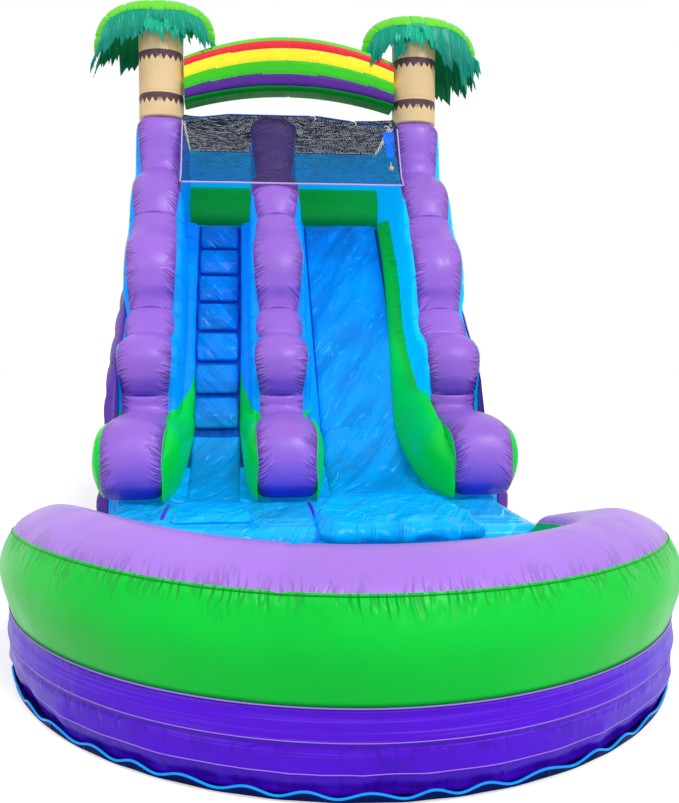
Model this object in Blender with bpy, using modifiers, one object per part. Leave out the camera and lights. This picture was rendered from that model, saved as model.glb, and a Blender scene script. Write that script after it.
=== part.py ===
"""Inflatable water slide with a climbing lane, a splash pool, palm trees and a rainbow arch.

Metres, +Z up. The origin lies on the ground under the middle of the slide, in line with the
faces of the three bumpers. Riders come down towards -Y, and +X is to the right seen from the pool.
"""

import math

import bmesh
import bpy
from mathutils import Matrix, Vector

# Clearances
GAP = 0.0003
OVERRUN = 0.05

# Slide body
BODY_REAR_LENGTH = 1.15
REAR_THICKNESS = 0.30
REAR_ROUNDING = 0.04
SIDE_THICKNESS = 0.025
SIDE_BULGE_DEPTH = 0.062
SIDE_FRONT_OFFSET = 0.42
TUBE_PITCH_HEIGHT = 0.44
TUBE_ARC_STEPS = 5
# Run and rise shares of the sides' top line, against the palm trunks' place and the deck's rise.
SIDE_TOP_SHARES = (
    (0.150, 0.010), (0.250, 0.117), (0.340, 0.360), (0.410, 0.450), (0.607, 0.630), (0.840, 0.820),
    (1.090, 1.000),
)

# Riding surface
BED_HEIGHT = 0.40
BED_FRONT_OFFSET = -0.95
BED_SIDE_MARGIN = 0.095
BED_ROUNDING = 0.05
PLATFORM_HEIGHT = 2.62
PLATFORM_THICKNESS = 0.25
PLATFORM_ROUNDING = 0.02
SLOPE_DEG = 44.5
RUNOUT_START_OFFSET = 0.13631
RUNOUT_RADIUS = 1.60
RUNOUT_STEPS = 7
DECK_DEPTH = 0.237

# Walls between and beside the lanes
WALL_SPACING_WIDTH = 2.35
CENTRE_WALL_OFFSET = -0.153
WALL_WIDTH = 0.40
WALL_RISE = 0.955
COLUMN_SETBACK_LENGTH = 0.25
SHOULDER_DROP = 0.075
CENTRE_WALL_REAR_LENGTH = 0.15
CAP_THICKNESS = 0.07
# Run and rise shares of the wavy cap, from under the bumper to the foot of the palm trunk.
CAP_WAVE_SHARES = (
    (0.045, 0.002), (0.003, 0.035), (-0.010, 0.092), (0.016, 0.146), (0.080, 0.174),
    (0.210, 0.181), (0.332, 0.178), (0.343, 0.208), (0.328, 0.258), (0.335, 0.315),
    (0.378, 0.354), (0.457, 0.369), (0.536, 0.428), (0.537, 0.488), (0.549, 0.551),
    (0.594, 0.608), (0.668, 0.650), (0.701, 0.687), (0.737, 0.750), (0.804, 0.804),
    (0.893, 0.838), (0.910, 0.882), (0.915, 0.935), (0.924, 0.972), (0.945, 0.990), (0.985, 1.000),
)
NET_REST_POINT = 19
CAP_REAR_LENGTH = 0.01

# Green feet of the walls, along the lanes
FOOT_ARC_STEPS = 5
LEFT_FOOT_WIDTH_LOW = 0.175
RIGHT_FOOT_WIDTH_LOW = 0.24
OUTER_FOOT_WIDTH_HIGH = 0.14
CENTRE_FOOT_WIDTH = 0.115
FOOT_HEIGHT_LOW = 0.47
FOOT_HEIGHT_HIGH = 0.17
FOOT_FRONT_OFFSET = 0.05
FOOT_SWELL_LENGTH = 0.30
FOOT_TAPER_LENGTH = 0.95
FOOT_STEPS = 12
FOOT_TIP_SHARE = 0.30
FOOT_FULLNESS = 0.7
FOOT_REAR_MARGIN = 0.02

# Rails behind the platform
RAIL_LOWER_HEIGHT = 0.48
RAIL_UPPER_HEIGHT = 0.42
RAIL_THICKNESS = 0.36
RAIL_ROUNDING = 0.07

# Steps and slick covers
STEP_COUNT = 7
STEP_SIDE_MARGIN = 0.0135
STEP_FIRST_HEIGHT = 0.80
STEP_DEPTH = 0.11
STEP_FACE_SHARE = 0.82
STEP_FOOT_DEPTH_SHARE = 0.33
STEP_FOOT_RISE_SHARE = 0.12
COVER_THICKNESS = 0.006
COVER_MARGIN = 0.01
SLIDE_COVER_DROP = 0.22
CLIMB_COVER_FRONT_OFFSET = -0.72
CLIMB_COVER_MARGIN = 0.02

# Palm trees
TRUNK_RADIUS = 0.205
TRUNK_HEIGHT = 0.86
TRUNK_ROUNDING = 0.03
TRUNK_SIDES = 20
FROND_RISE = 0.06
FROND_RIB_HEIGHT = 0.10
FROND_HALF_WIDTH = 0.20
FROND_SKIRT_HEIGHT = 0.30
FROND_THICKNESS = 0.016
FROND_STEPS = 8
FROND_START_RADIUS = 0.035
FROND_SIDE_GAP = 0.01
FROND_TRUNK_GAP = 0.03
FROND_OUTER_REACH = 0.61
FROND_OUTER_DROP = 0.42
FROND_ARCH_REACH = 0.48
FROND_ARCH_DROP = 0.24
FROND_FRONT_REACH = 0.34
FROND_FRONT_DROP = 0.22
FROND_TIP_SHARE = 0.60
FROND_SHOULDER_SHARE = 0.62
FROND_SHOULDER_DROP_SHARE = 0.30

# Rainbow arch
ARCH_FOOT_HEIGHT = 0.085
ARCH_UNDER_RISE = 0.145
ARCH_END_HEIGHT = 0.505
ARCH_OVER_RISE = 0.21
ARCH_DEPTH = 0.36
ARCH_ROUNDING = 0.08
ARCH_STEPS = 12
ARCH_CLEARANCE = 0.003

# Safety nets
NET_THICKNESS = 0.004
NET_CLEARANCE = 0.004
NET_SIDE_DROP = 0.14
NET_TOP_ADVANCE_LENGTH = 0.25
NET_TOP_DROP = 0.034
NET_HEM_DROP = 0.10
NET_HEM_ADVANCE_LENGTH = 0.125
NET_COLUMNS = 12
NET_REAR_REST_LENGTH = 0.16

# Pool
POOL_SIDE_OFFSET = 0.021
POOL_CENTRE_OFFSET = -1.59
POOL_HALF_WIDTH = 1.55
POOL_FRONT_REACH = 1.867
POOL_REAR_REACH = 1.52
POOL_END_ANGLE_DEG = 27.0
POOL_SQUARENESS = 1.95
POOL_TUBE_WIDTH = 0.54
POOL_END_WIDTH = 0.25
POOL_SPLIT_HEIGHT = 0.302
POOL_FRONT_HEIGHT = 0.755
POOL_END_HEIGHT = 0.47
POOL_WIDTH_TAPER_LENGTH = 1.55
POOL_HEIGHT_TAPER_LENGTH = 2.2
POOL_STEPS = 30
SHEET_THICKNESS = 0.005
SHEET_MARGIN = 0.02
# Inset and height shares of the pool tubes' sections, from the outer seam round to the inner one.
POOL_UPPER_SHARES = (
    (0.08, 0.00), (0.00, 0.41), (0.10, 0.75), (0.28, 0.93), (0.52, 1.00), (0.76, 0.88), (0.93, 0.60),
    (1.00, 0.30), (0.94, 0.00),
)
POOL_LOWER_SHARES = (
    (0.16, 0.00), (0.09, 0.30), (0.06, 0.65), (0.08, 1.00), (0.94, 1.00), (0.98, 0.60), (0.94, 0.00),
)

# Blower and its sleeve
BLOWER_OFFSET = -0.62
BLOWER_HEIGHT = 0.31
SLEEVE_LENGTH = 0.32
SLEEVE_WALL_THICKNESS = 0.008
SNOUT_RADIUS = 0.125
SNOUT_SEAT_LENGTH = 0.15
SNOUT_NECK_LENGTH = 0.03
SNOUT_CLEARANCE = 0.0008
SNOUT_SIDES = 24
BLOWER_RADIUS = 0.21
BLOWER_WIDTH = 0.26
BLOWER_WALL = 0.012
BLOWER_SIDES = 32
STAND_HALF_DEPTH = 0.16
STAND_HEIGHT = 0.14
INTAKE_RADIUS = 0.115
FAN_RADIUS = 0.165
FAN_WIDTH = 0.15
FAN_DISC = 0.006
FAN_BLADES = 16
FAN_BLADE_DEPTH = 0.035
FAN_BLADE_THICKNESS = 0.005
FAN_HUB_RADIUS = 0.03
SHAFT_RADIUS = 0.008
SHAFT_CLEARANCE = 0.0004
SHAFT_SEAT = 0.08
MOTOR_RADIUS = 0.075
MOTOR_LENGTH = 0.13
MOTOR_ROUNDING = 0.01
SWITCH_WIDTH = 0.022
SWITCH_HEIGHT = 0.034
SWITCH_DEPTH = 0.012
SWITCH_DISH_SHARE = 0.75
SWITCH_TILT_DEG = 10.0
SWITCH_OFFSET = 0.13

# Deflation vent
VENT_SIDE_OFFSET = 0.55
VENT_HEIGHT = 0.66
VENT_WIDTH = 0.60
ZIP_TAPE_HEIGHT = 0.036
ZIP_TAPE_THICKNESS = 0.003
ZIP_PULL_WIDTH = 0.030
ZIP_PULL_HEIGHT = 0.020
ZIP_PULL_THICKNESS = 0.008
ZIP_MARGIN = 0.03
FLAP_RISE = 0.07
FLAP_HEIGHT = 0.15
FLAP_THICKNESS = 0.005
FLAP_HEADER_HEIGHT = 0.02
FLAP_OVERHANG_LENGTH = 0.02

# Anchor rings
RING_WIRE_RADIUS = 0.004
RING_HALF_WIDTH = 0.030
RING_DROP = 0.050
RING_ARC_STEPS = 10
PATCH_WIDTH = 0.10
PATCH_HEIGHT = 0.08
PATCH_THICKNESS = 0.005
KEEPER_WALL_THICKNESS = 0.004
KEEPER_CLEARANCE = 0.0006
KEEPER_WIDTH = 0.030
KEEPER_SIDES = 16
ANCHOR_FRONT_OFFSET = 1.10
ANCHOR_REAR_MARGIN = 0.45
RING_LEG_DROP_SHARE = 0.45

# Hose socket
HOSE_SIDE_OFFSET = 1.05
HOSE_HEIGHT = 0.95
HOSE_BORE_RADIUS = 0.0125
HOSE_WALL_THICKNESS = 0.004
HOSE_LENGTH = 0.055
HOSE_BORE_DEPTH = 0.045
HOSE_FLANGE_RADIUS = 0.030
HOSE_FLANGE_THICKNESS = 0.005
HOSE_STEPS = 24

# Hanging tie with its ball
TIE_SIDE_MARGIN = 0.095
TIE_WIDTH = 0.085
TIE_FOOT_MARGIN = 0.04
TIE_THICKNESS = 0.005
TIE_CORD_LENGTH = 0.05
TIE_CORD_RADIUS = 0.005
TIE_BALL_RADIUS = 0.024
TIE_TOP_DROP = 0.06
TIE_BALL_STEPS = 8
TIE_TURN_STEPS = 12

COLOURS = {
    "purple_vinyl": ((0.36, 0.13, 0.70), 0.32, 0.0),
    "blue_vinyl": ((0.02, 0.33, 0.85), 0.30, 0.0),
    "green_vinyl": ((0.05, 0.72, 0.12), 0.32, 0.0),
    "tan_vinyl": ((0.80, 0.62, 0.38), 0.45, 0.0),
    "teal_vinyl": ((0.0, 0.42, 0.34), 0.35, 0.0),
    "rainbow_vinyl": ((0.85, 0.62, 0.05), 0.35, 0.0),
    "black_net": ((0.02, 0.02, 0.03), 0.80, 0.0),
    "blower_plastic": ((0.90, 0.45, 0.05), 0.45, 0.0),
    "black_plastic": ((0.02, 0.02, 0.02), 0.50, 0.0),
    "steel": ((0.62, 0.62, 0.64), 0.30, 1.0),
}

OUTER_WALL_X = WALL_SPACING_WIDTH / 2
WALL_FACE = OUTER_WALL_X - WALL_WIDTH / 2
BODY_HALF_WIDTH = OUTER_WALL_X + WALL_WIDTH / 2
BED_HALF_WIDTH = BODY_HALF_WIDTH - BED_SIDE_MARGIN
DECK_RISE = PLATFORM_HEIGHT - BED_HEIGHT
SLOPE = math.radians(SLOPE_DEG)
PLATFORM_EDGE_Y = RUNOUT_START_OFFSET + RUNOUT_RADIUS * math.tan(SLOPE / 2) + DECK_RISE / math.tan(SLOPE)
COLUMN_Y = PLATFORM_EDGE_Y - COLUMN_SETBACK_LENGTH
CAP_REAR_Y = PLATFORM_EDGE_Y + CAP_REAR_LENGTH
CENTRE_WALL_REAR_Y = PLATFORM_EDGE_Y + CENTRE_WALL_REAR_LENGTH
BODY_REAR_Y = PLATFORM_EDGE_Y + BODY_REAR_LENGTH
NET_TOP_Y = COLUMN_Y - NET_TOP_ADVANCE_LENGTH
ANCHOR_REAR_Y = BODY_REAR_Y - ANCHOR_REAR_MARGIN
WALL_TOP = PLATFORM_HEIGHT + WALL_RISE
RAIL_SPLIT_HEIGHT = PLATFORM_HEIGHT + RAIL_LOWER_HEIGHT
RAIL_TOP = RAIL_SPLIT_HEIGHT + RAIL_UPPER_HEIGHT
CAP_RISE = WALL_TOP - BED_HEIGHT
FROND_BASE = WALL_TOP + TRUNK_HEIGHT + GAP
SIDE_REACH = SIDE_THICKNESS + SIDE_BULGE_DEPTH * math.sqrt(math.sin(math.pi * 2 / TUBE_ARC_STEPS))
SIDE_FACE_X = BODY_HALF_WIDTH + GAP + SIDE_REACH
BLOWER_Y = BODY_REAR_Y + SLEEVE_LENGTH + SNOUT_NECK_LENGTH + BLOWER_RADIUS


def clear_scene():
    """Removes every object and makes the collections for the parts and the cutters."""
    for obj in list(bpy.data.objects):
        bpy.data.objects.remove(obj, do_unlink=True)
    parts = bpy.data.collections.new("inflatable_water_slide")
    helpers = bpy.data.collections.new("cutters")
    for collection in (parts, helpers):
        bpy.context.scene.collection.children.link(collection)
    return parts, helpers


PARTS, HELPERS = clear_scene()


def material(name):
    """The named material, made on first use."""
    found = bpy.data.materials.get(name)
    if found:
        return found
    colour, roughness, metallic = COLOURS[name]
    made = bpy.data.materials.new(name)
    made.use_nodes = True
    shader = made.node_tree.nodes["Principled BSDF"]
    shader.inputs["Base Color"].default_value = (*colour, 1.0)
    shader.inputs["Roughness"].default_value = roughness
    shader.inputs["Metallic"].default_value = metallic
    return made


def spread(low, high, steps):
    """Evenly spaced values from low to high."""
    return [low + (high - low) * i / steps for i in range(steps + 1)]


def add_object(name, data, finish, collection=PARTS):
    """Links an object with its material."""
    obj = bpy.data.objects.new(name, data)
    data.materials.append(material(finish))
    collection.objects.link(obj)
    return obj


def mesh_object(name, shape, finish, collection=PARTS):
    """Turns a bmesh into an object, with its faces pointing out."""
    bmesh.ops.recalc_face_normals(shape, faces=shape.faces)
    data = bpy.data.meshes.new(name)
    shape.to_mesh(data)
    shape.free()
    return add_object(name, data, finish, collection)


def smooth(obj, angle_deg=40.0):
    """Shades a round piece smooth, with its edges sharp."""
    obj.data.shade_smooth()
    obj.data.set_sharp_from_angle(angle=math.radians(angle_deg))
    return obj


def box(name, low, high, finish, rounding=0.0, collection=PARTS):
    """A box between two corners, with its edges rounded."""
    low, high = Vector(low), Vector(high)
    shape = bmesh.new()
    bmesh.ops.create_cube(shape, size=1.0)
    bmesh.ops.scale(shape, vec=high - low, verts=shape.verts)
    obj = mesh_object(name, shape, finish, collection)
    obj.location = (low + high) / 2
    if rounding > 0.0:
        bevel = obj.modifiers.new("rounded_edges", "BEVEL")
        bevel.width = rounding
        bevel.segments = 2
    return obj


def cylinder(name, start, end, radius, finish, sides=TRUNK_SIDES, collection=PARTS):
    """A cylinder between two points on its axis."""
    start, end = Vector(start), Vector(end)
    axis = end - start
    shape = bmesh.new()
    bmesh.ops.create_cone(shape, cap_ends=True, segments=sides, radius1=radius, radius2=radius, depth=axis.length)
    obj = mesh_object(name, shape, finish, collection)
    obj.rotation_euler = axis.to_track_quat("Z", "Y").to_euler()
    obj.location = (start + end) / 2
    return obj


def outline(name, points, half_depth, finish, rounding=0.0, plane="YZ", centre=0.0, collection=PARTS):
    """A closed flat outline given a thickness about its plane, with rounded rims.

    YZ is for side profiles, at x = centre, XZ for front profiles, at y = centre, and XY for plans.
    """
    curve = bpy.data.curves.new(name, "CURVE")
    curve.dimensions = "2D"
    curve.fill_mode = "BOTH"
    curve.extrude = half_depth - rounding
    if rounding > 0.0:
        curve.bevel_depth = rounding
        curve.bevel_resolution = 0
        curve.offset = -rounding
    spline = curve.splines.new("POLY")
    spline.points.add(len(points) - 1)
    for point, (across, up) in zip(spline.points, points):
        point.co = (across, up, 0.0, 1.0)
    spline.use_cyclic_u = True
    obj = add_object(name, curve, finish, collection)
    if plane == "YZ":
        obj.rotation_euler = (math.pi / 2, 0.0, math.pi / 2)
        obj.location.x = centre
    elif plane == "XZ":
        obj.rotation_euler = (math.pi / 2, 0.0, 0.0)
        obj.location.y = centre
    else:
        obj.location.z = centre
    return obj


def loft(name, rings, finish, collection=PARTS, cut_y=None):
    """Skins closed rings of points one after the other and closes both ends."""
    shape = bmesh.new()
    rows = [[shape.verts.new(point) for point in ring] for ring in rings]
    count = len(rows[0])
    for near, far in zip(rows, rows[1:]):
        for i in range(count):
            j = (i + 1) % count
            shape.faces.new((near[i], near[j], far[j], far[i]))
    shape.faces.new(rows[0])
    shape.faces.new(rows[-1])
    if cut_y is not None:
        everything = shape.verts[:] + shape.edges[:] + shape.faces[:]
        cut = bmesh.ops.bisect_plane(
            shape, geom=everything, plane_co=(0.0, cut_y, 0.0), plane_no=(0.0, 1.0, 0.0), clear_outer=True
        )
        rim = [part for part in cut["geom_cut"] if isinstance(part, bmesh.types.BMEdge)]
        bmesh.ops.edgenet_fill(shape, edges=rim)
    bmesh.ops.triangulate(shape, faces=[face for face in shape.faces if len(face.verts) > 4])
    return smooth(mesh_object(name, shape, finish, collection))


def as_mesh(obj):
    """Replaces a curve object by a mesh of the same shape, for Booleans."""
    bpy.context.view_layer.update()
    graph = bpy.context.evaluated_depsgraph_get()
    made = bpy.data.meshes.new_from_object(obj.evaluated_get(graph))
    shape = bmesh.new()
    shape.from_mesh(made)
    bmesh.ops.remove_doubles(shape, verts=shape.verts, dist=GAP / 10)
    shape.to_mesh(made)
    shape.free()
    name, collection = obj.name, obj.users_collection[0]
    mesh_copy = bpy.data.objects.new(name + "_mesh", made)
    mesh_copy.matrix_world = obj.matrix_world.copy()
    collection.objects.link(mesh_copy)
    bpy.data.objects.remove(obj, do_unlink=True)
    mesh_copy.name = name
    return mesh_copy


def boolean(obj, other, operation):
    """Cuts, joins or intersects obj with a helper."""
    other.hide_render = True
    other.display_type = "WIRE"
    modifier = obj.modifiers.new(operation.lower(), "BOOLEAN")
    modifier.operation = operation
    modifier.object = other
    modifier.solver = "EXACT"
    return obj


def deck_path(steps=RUNOUT_STEPS):
    """The riding surface as (y, z), from the start of the run-out to the platform's edge."""
    points = []
    for i in range(steps + 1):
        angle = SLOPE * i / steps
        points.append((
            RUNOUT_START_OFFSET + RUNOUT_RADIUS * math.sin(angle),
            BED_HEIGHT + RUNOUT_RADIUS * (1.0 - math.cos(angle)),
        ))
    points.append((PLATFORM_EDGE_Y, PLATFORM_HEIGHT))
    return points


def deck_height(y):
    """The riding surface's height at y, on the flat bed, the run-out, the slope or the platform."""
    path = deck_path()
    if y <= path[0][0]:
        return BED_HEIGHT
    for (y0, z0), (y1, z1) in zip(path, path[1:]):
        if y <= y1:
            return z0 + (z1 - z0) * (y - y0) / (y1 - y0)
    return PLATFORM_HEIGHT


def cap_path():
    """The wavy outer line of a wall's cap as (y, z), from under the bumper to the trunk."""
    path = [(run * COLUMN_Y, BED_HEIGHT + GAP + rise * CAP_RISE) for run, rise in CAP_WAVE_SHARES]
    path.append((CAP_REAR_Y, WALL_TOP))
    return path


def inset_path(path, distance):
    """The same open line, moved to its right-hand side by a distance."""
    moved = []
    for i, (y, z) in enumerate(path):
        before = Vector(path[max(i - 1, 0)])
        after = Vector(path[min(i + 1, len(path) - 1)])
        along = (after - before).normalized()
        moved.append((y + along.y * distance, z - along.x * distance))
    return moved


def under_path(low_y, high_y, clearance):
    """Points just above the riding surface between two places, low y first."""
    inner = [(y, z) for y, z in deck_path() if low_y < y < high_y]
    line = [(low_y, deck_height(low_y))] + inner + [(high_y, deck_height(high_y))]
    return [(y, z + clearance) for y, z in line]


def build_bed():
    """The flat inflated landing bed in front of the slope."""
    box(
        "landing_bed", (-BED_HALF_WIDTH, BED_FRONT_OFFSET, 0.0),
        (BED_HALF_WIDTH, RUNOUT_START_OFFSET, BED_HEIGHT - GAP), "blue_vinyl", BED_ROUNDING,
    )


def build_deck():
    """The inflated slab of both lanes, from the bed up to the platform."""
    top = [(y, z - GAP) for y, z in deck_path()]
    top[0] = (RUNOUT_START_OFFSET + GAP, top[0][1])
    bottom = [(y, z - DECK_DEPTH) for y, z in top]
    outline("slope_deck", top + bottom[::-1], BODY_HALF_WIDTH, "blue_vinyl")


def build_platform():
    """The floor that riders stand on at the top."""
    box(
        "platform_deck",
        (-BODY_HALF_WIDTH, PLATFORM_EDGE_Y + GAP, PLATFORM_HEIGHT - PLATFORM_THICKNESS),
        (BODY_HALF_WIDTH, BODY_REAR_Y - REAR_THICKNESS - GAP, PLATFORM_HEIGHT - GAP),
        "blue_vinyl", PLATFORM_ROUNDING,
    )


def scalloped(height):
    """A stack of round-fronted tubes as (out, up), flat at the back, of a given total height."""
    tubes = max(1, round(height / TUBE_PITCH_HEIGHT))
    pitch = height / tubes
    points = []
    for tube in range(tubes):
        for step in range(TUBE_ARC_STEPS):
            share = step / TUBE_ARC_STEPS
            bulge = SIDE_BULGE_DEPTH * math.sqrt(math.sin(math.pi * share))
            points.append((SIDE_THICKNESS + bulge, pitch * (tube + share)))
    points.append((SIDE_THICKNESS, height))
    points.append((0.0, height))
    points.append((0.0, 0.0))
    return points


def build_side(name, side):
    """A purple side of the body, of stacked tubes, cut off along its sloping top line."""
    inner = BODY_HALF_WIDTH + GAP
    points = [(side * (inner + out), up) for out, up in scalloped(PLATFORM_HEIGHT)]
    half, middle = (BODY_REAR_Y - SIDE_FRONT_OFFSET) / 2, (BODY_REAR_Y + SIDE_FRONT_OFFSET) / 2
    panel = as_mesh(outline(name, points, half, "purple_vinyl", plane="XZ", centre=middle))
    area = [(run * COLUMN_Y, BED_HEIGHT + rise * DECK_RISE) for run, rise in SIDE_TOP_SHARES]
    area += [(BODY_REAR_Y + OVERRUN, area[-1][1]), (BODY_REAR_Y + OVERRUN, -OVERRUN), (area[0][0], -OVERRUN)]
    keep = as_mesh(outline(name + "_area", area, WALL_SPACING_WIDTH, "purple_vinyl", collection=HELPERS))
    boolean(panel, keep, "INTERSECT")


def build_rear():
    """The flat-backed rear of the body, under the platform's end."""
    box(
        "rear_body", (-BODY_HALF_WIDTH, BODY_REAR_Y - REAR_THICKNESS, 0.0),
        (BODY_HALF_WIDTH, BODY_REAR_Y, PLATFORM_HEIGHT - GAP), "purple_vinyl", REAR_ROUNDING,
    )


def build_rails():
    """The green and blue tubes behind the platform."""
    reach = WALL_FACE - GAP
    front, rear = BODY_REAR_Y - RAIL_THICKNESS, BODY_REAR_Y
    box(
        "back_rail_lower", (-reach, front, PLATFORM_HEIGHT), (reach, rear, RAIL_SPLIT_HEIGHT - GAP),
        "green_vinyl", RAIL_ROUNDING,
    )
    box(
        "back_rail_upper", (-reach, front, RAIL_SPLIT_HEIGHT), (reach, rear, RAIL_TOP),
        "blue_vinyl", RAIL_ROUNDING,
    )


def build_wall(name, centre_x, rear_y):
    """One wall: the blue chamber and the purple wavy cap with its bumper face."""
    outer = cap_path()
    inner = inset_path(outer, CAP_THICKNESS)
    outline(name + "_cap", outer + inner[::-1], WALL_WIDTH / 2, "purple_vinyl", centre=centre_x)
    seat = inset_path(outer, CAP_THICKNESS + GAP)
    foot = under_path(seat[0][0], rear_y, GAP)
    shoulder = WALL_TOP - SHOULDER_DROP
    top = [(CAP_REAR_Y + GAP, seat[-1][1]), (CAP_REAR_Y + GAP, shoulder), (rear_y, shoulder)]
    chamber = seat[:-1] + top + foot[::-1]
    outline(name, chamber, WALL_WIDTH / 2, "blue_vinyl", centre=centre_x)


def foot_size(y, low_width, high_width):
    """Width and height of a wall's green foot at y, small at the bumper's face."""
    swell = min(1.0, max(0.0, (y - FOOT_FRONT_OFFSET) / FOOT_SWELL_LENGTH))
    grown = FOOT_TIP_SHARE + (1.0 - FOOT_TIP_SHARE) * math.sqrt(swell * (2.0 - swell))
    fade = min(1.0, max(0.0, (y - FOOT_FRONT_OFFSET) / FOOT_TAPER_LENGTH))
    width = low_width + (high_width - low_width) * fade
    height = FOOT_HEIGHT_LOW + (FOOT_HEIGHT_HIGH - FOOT_HEIGHT_LOW) * fade
    return width * grown, height * (1.0 - (1.0 - grown) / 2)


def build_foot(name, face_x, side, low_width, high_width):
    """A green quarter-round foot along a lane, on the side of a wall's face."""
    rings = []
    last = PLATFORM_EDGE_Y - FOOT_REAR_MARGIN
    for y in spread(FOOT_FRONT_OFFSET, last, FOOT_STEPS):
        width, height = foot_size(y, low_width, high_width)
        base = deck_height(y) + GAP * 3
        x = face_x + side * GAP
        ring = [(x, y, base)]
        for step in range(FOOT_ARC_STEPS + 1):
            angle = math.pi / 2 * step / FOOT_ARC_STEPS
            ring.append((x + side * width * math.cos(angle) ** FOOT_FULLNESS, y, base + height * math.sin(angle)))
        rings.append(ring)
    loft(name, rings, "green_vinyl")


def build_walls():
    """The three walls and the green feet along the lanes."""
    half = WALL_WIDTH / 2
    build_wall("left_wall", -OUTER_WALL_X, BODY_REAR_Y)
    build_wall("centre_wall", CENTRE_WALL_OFFSET, CENTRE_WALL_REAR_Y)
    build_wall("right_wall", OUTER_WALL_X, BODY_REAR_Y)
    build_foot("left_wall_foot", -OUTER_WALL_X + half, 1.0, LEFT_FOOT_WIDTH_LOW, OUTER_FOOT_WIDTH_HIGH)
    build_foot("centre_wall_left_foot", CENTRE_WALL_OFFSET - half, -1.0, CENTRE_FOOT_WIDTH, CENTRE_FOOT_WIDTH)
    build_foot("centre_wall_right_foot", CENTRE_WALL_OFFSET + half, 1.0, CENTRE_FOOT_WIDTH, CENTRE_FOOT_WIDTH)
    build_foot("right_wall_foot", OUTER_WALL_X - half, -1.0, RIGHT_FOOT_WIDTH_LOW, OUTER_FOOT_WIDTH_HIGH)


def lane_middle(left_x, right_x, left_foot, right_foot):
    """The middle and half width of the clear strip between the feet of two walls."""
    low = left_x + WALL_WIDTH / 2 + left_foot
    high = right_x - WALL_WIDTH / 2 - right_foot
    return (low + high) / 2, (high - low) / 2


def build_steps():
    """The seven step pads up the climbing lane."""
    middle, half = lane_middle(-OUTER_WALL_X, CENTRE_WALL_OFFSET, OUTER_FOOT_WIDTH_HIGH, CENTRE_FOOT_WIDTH)
    rise = (PLATFORM_HEIGHT - STEP_FIRST_HEIGHT) / STEP_COUNT
    for i in range(STEP_COUNT):
        low = STEP_FIRST_HEIGHT + rise * i
        high = low + rise * STEP_FACE_SHARE
        back_low, back_high = surface_y(low), surface_y(high)
        pad = [
            (back_low, low + GAP * 3),
            (back_low - STEP_DEPTH * STEP_FOOT_DEPTH_SHARE, low + rise * STEP_FOOT_RISE_SHARE),
            (back_high - STEP_DEPTH, high),
            (back_high, high + GAP * 3),
        ]
        outline(f"climb_step_{i + 1}", pad, half - STEP_SIDE_MARGIN, "blue_vinyl", centre=middle)


def surface_y(z):
    """Where the riding surface reaches the height z."""
    path = deck_path()
    for (y0, z0), (y1, z1) in zip(path, path[1:]):
        if z <= z1:
            return y0 + (y1 - y0) * (z - z0) / (z1 - z0)
    return PLATFORM_EDGE_Y


def build_cover(name, low_y, high_y, middle, half_width, drop):
    """A thin slick cover on a lane; with a drop it also hangs over the bed's front edge."""
    line = under_path(low_y, high_y, GAP * 2)
    if drop > 0.0:
        corner = (BED_FRONT_OFFSET - GAP * 2, BED_HEIGHT + GAP * 2)
        line = [(corner[0], BED_HEIGHT - drop), corner] + line[1:]
    outside = [(y, z + COVER_THICKNESS) for y, z in line]
    if drop > 0.0:
        outside[0] = (line[0][0] - COVER_THICKNESS, line[0][1])
        outside[1] = (line[1][0] - COVER_THICKNESS, line[1][1] + COVER_THICKNESS)
    outline(name, line + outside[::-1], half_width, "blue_vinyl", centre=middle)


def build_covers():
    """The slick covers of the sliding lane and of the foot of the climbing lane."""
    middle, half = lane_middle(CENTRE_WALL_OFFSET, OUTER_WALL_X, CENTRE_FOOT_WIDTH, RIGHT_FOOT_WIDTH_LOW)
    build_cover(
        "slide_cover", BED_FRONT_OFFSET, PLATFORM_EDGE_Y - COVER_MARGIN, middle, half - COVER_MARGIN,
        SLIDE_COVER_DROP,
    )
    middle, half = lane_middle(-OUTER_WALL_X, CENTRE_WALL_OFFSET, LEFT_FOOT_WIDTH_LOW, CENTRE_FOOT_WIDTH)
    end = surface_y(STEP_FIRST_HEIGHT) - CLIMB_COVER_MARGIN - STEP_DEPTH / 2
    build_cover("climb_cover", CLIMB_COVER_FRONT_OFFSET, end, middle, half - COVER_MARGIN, 0.0)


def build_trunks():
    """The palm trunks, standing on the outer walls' caps."""
    for name, x in (("left_palm_trunk", -OUTER_WALL_X), ("right_palm_trunk", OUTER_WALL_X)):
        foot, top = (x, COLUMN_Y, WALL_TOP + GAP), (x, COLUMN_Y, WALL_TOP + TRUNK_HEIGHT)
        trunk = smooth(cylinder(name, foot, top, TRUNK_RADIUS, "tan_vinyl"))
        bevel = trunk.modifiers.new("rounded_rims", "BEVEL")
        bevel.width = TRUNK_ROUNDING
        bevel.segments = 2


def arch_line(x, end_height, rise):
    """The height of one of the arch's edges at x: its ends stand over the walls' top."""
    share = min(1.0, abs(x) / (OUTER_WALL_X - TRUNK_RADIUS))
    return WALL_TOP + end_height + rise * (1.0 - share * share)


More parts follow.
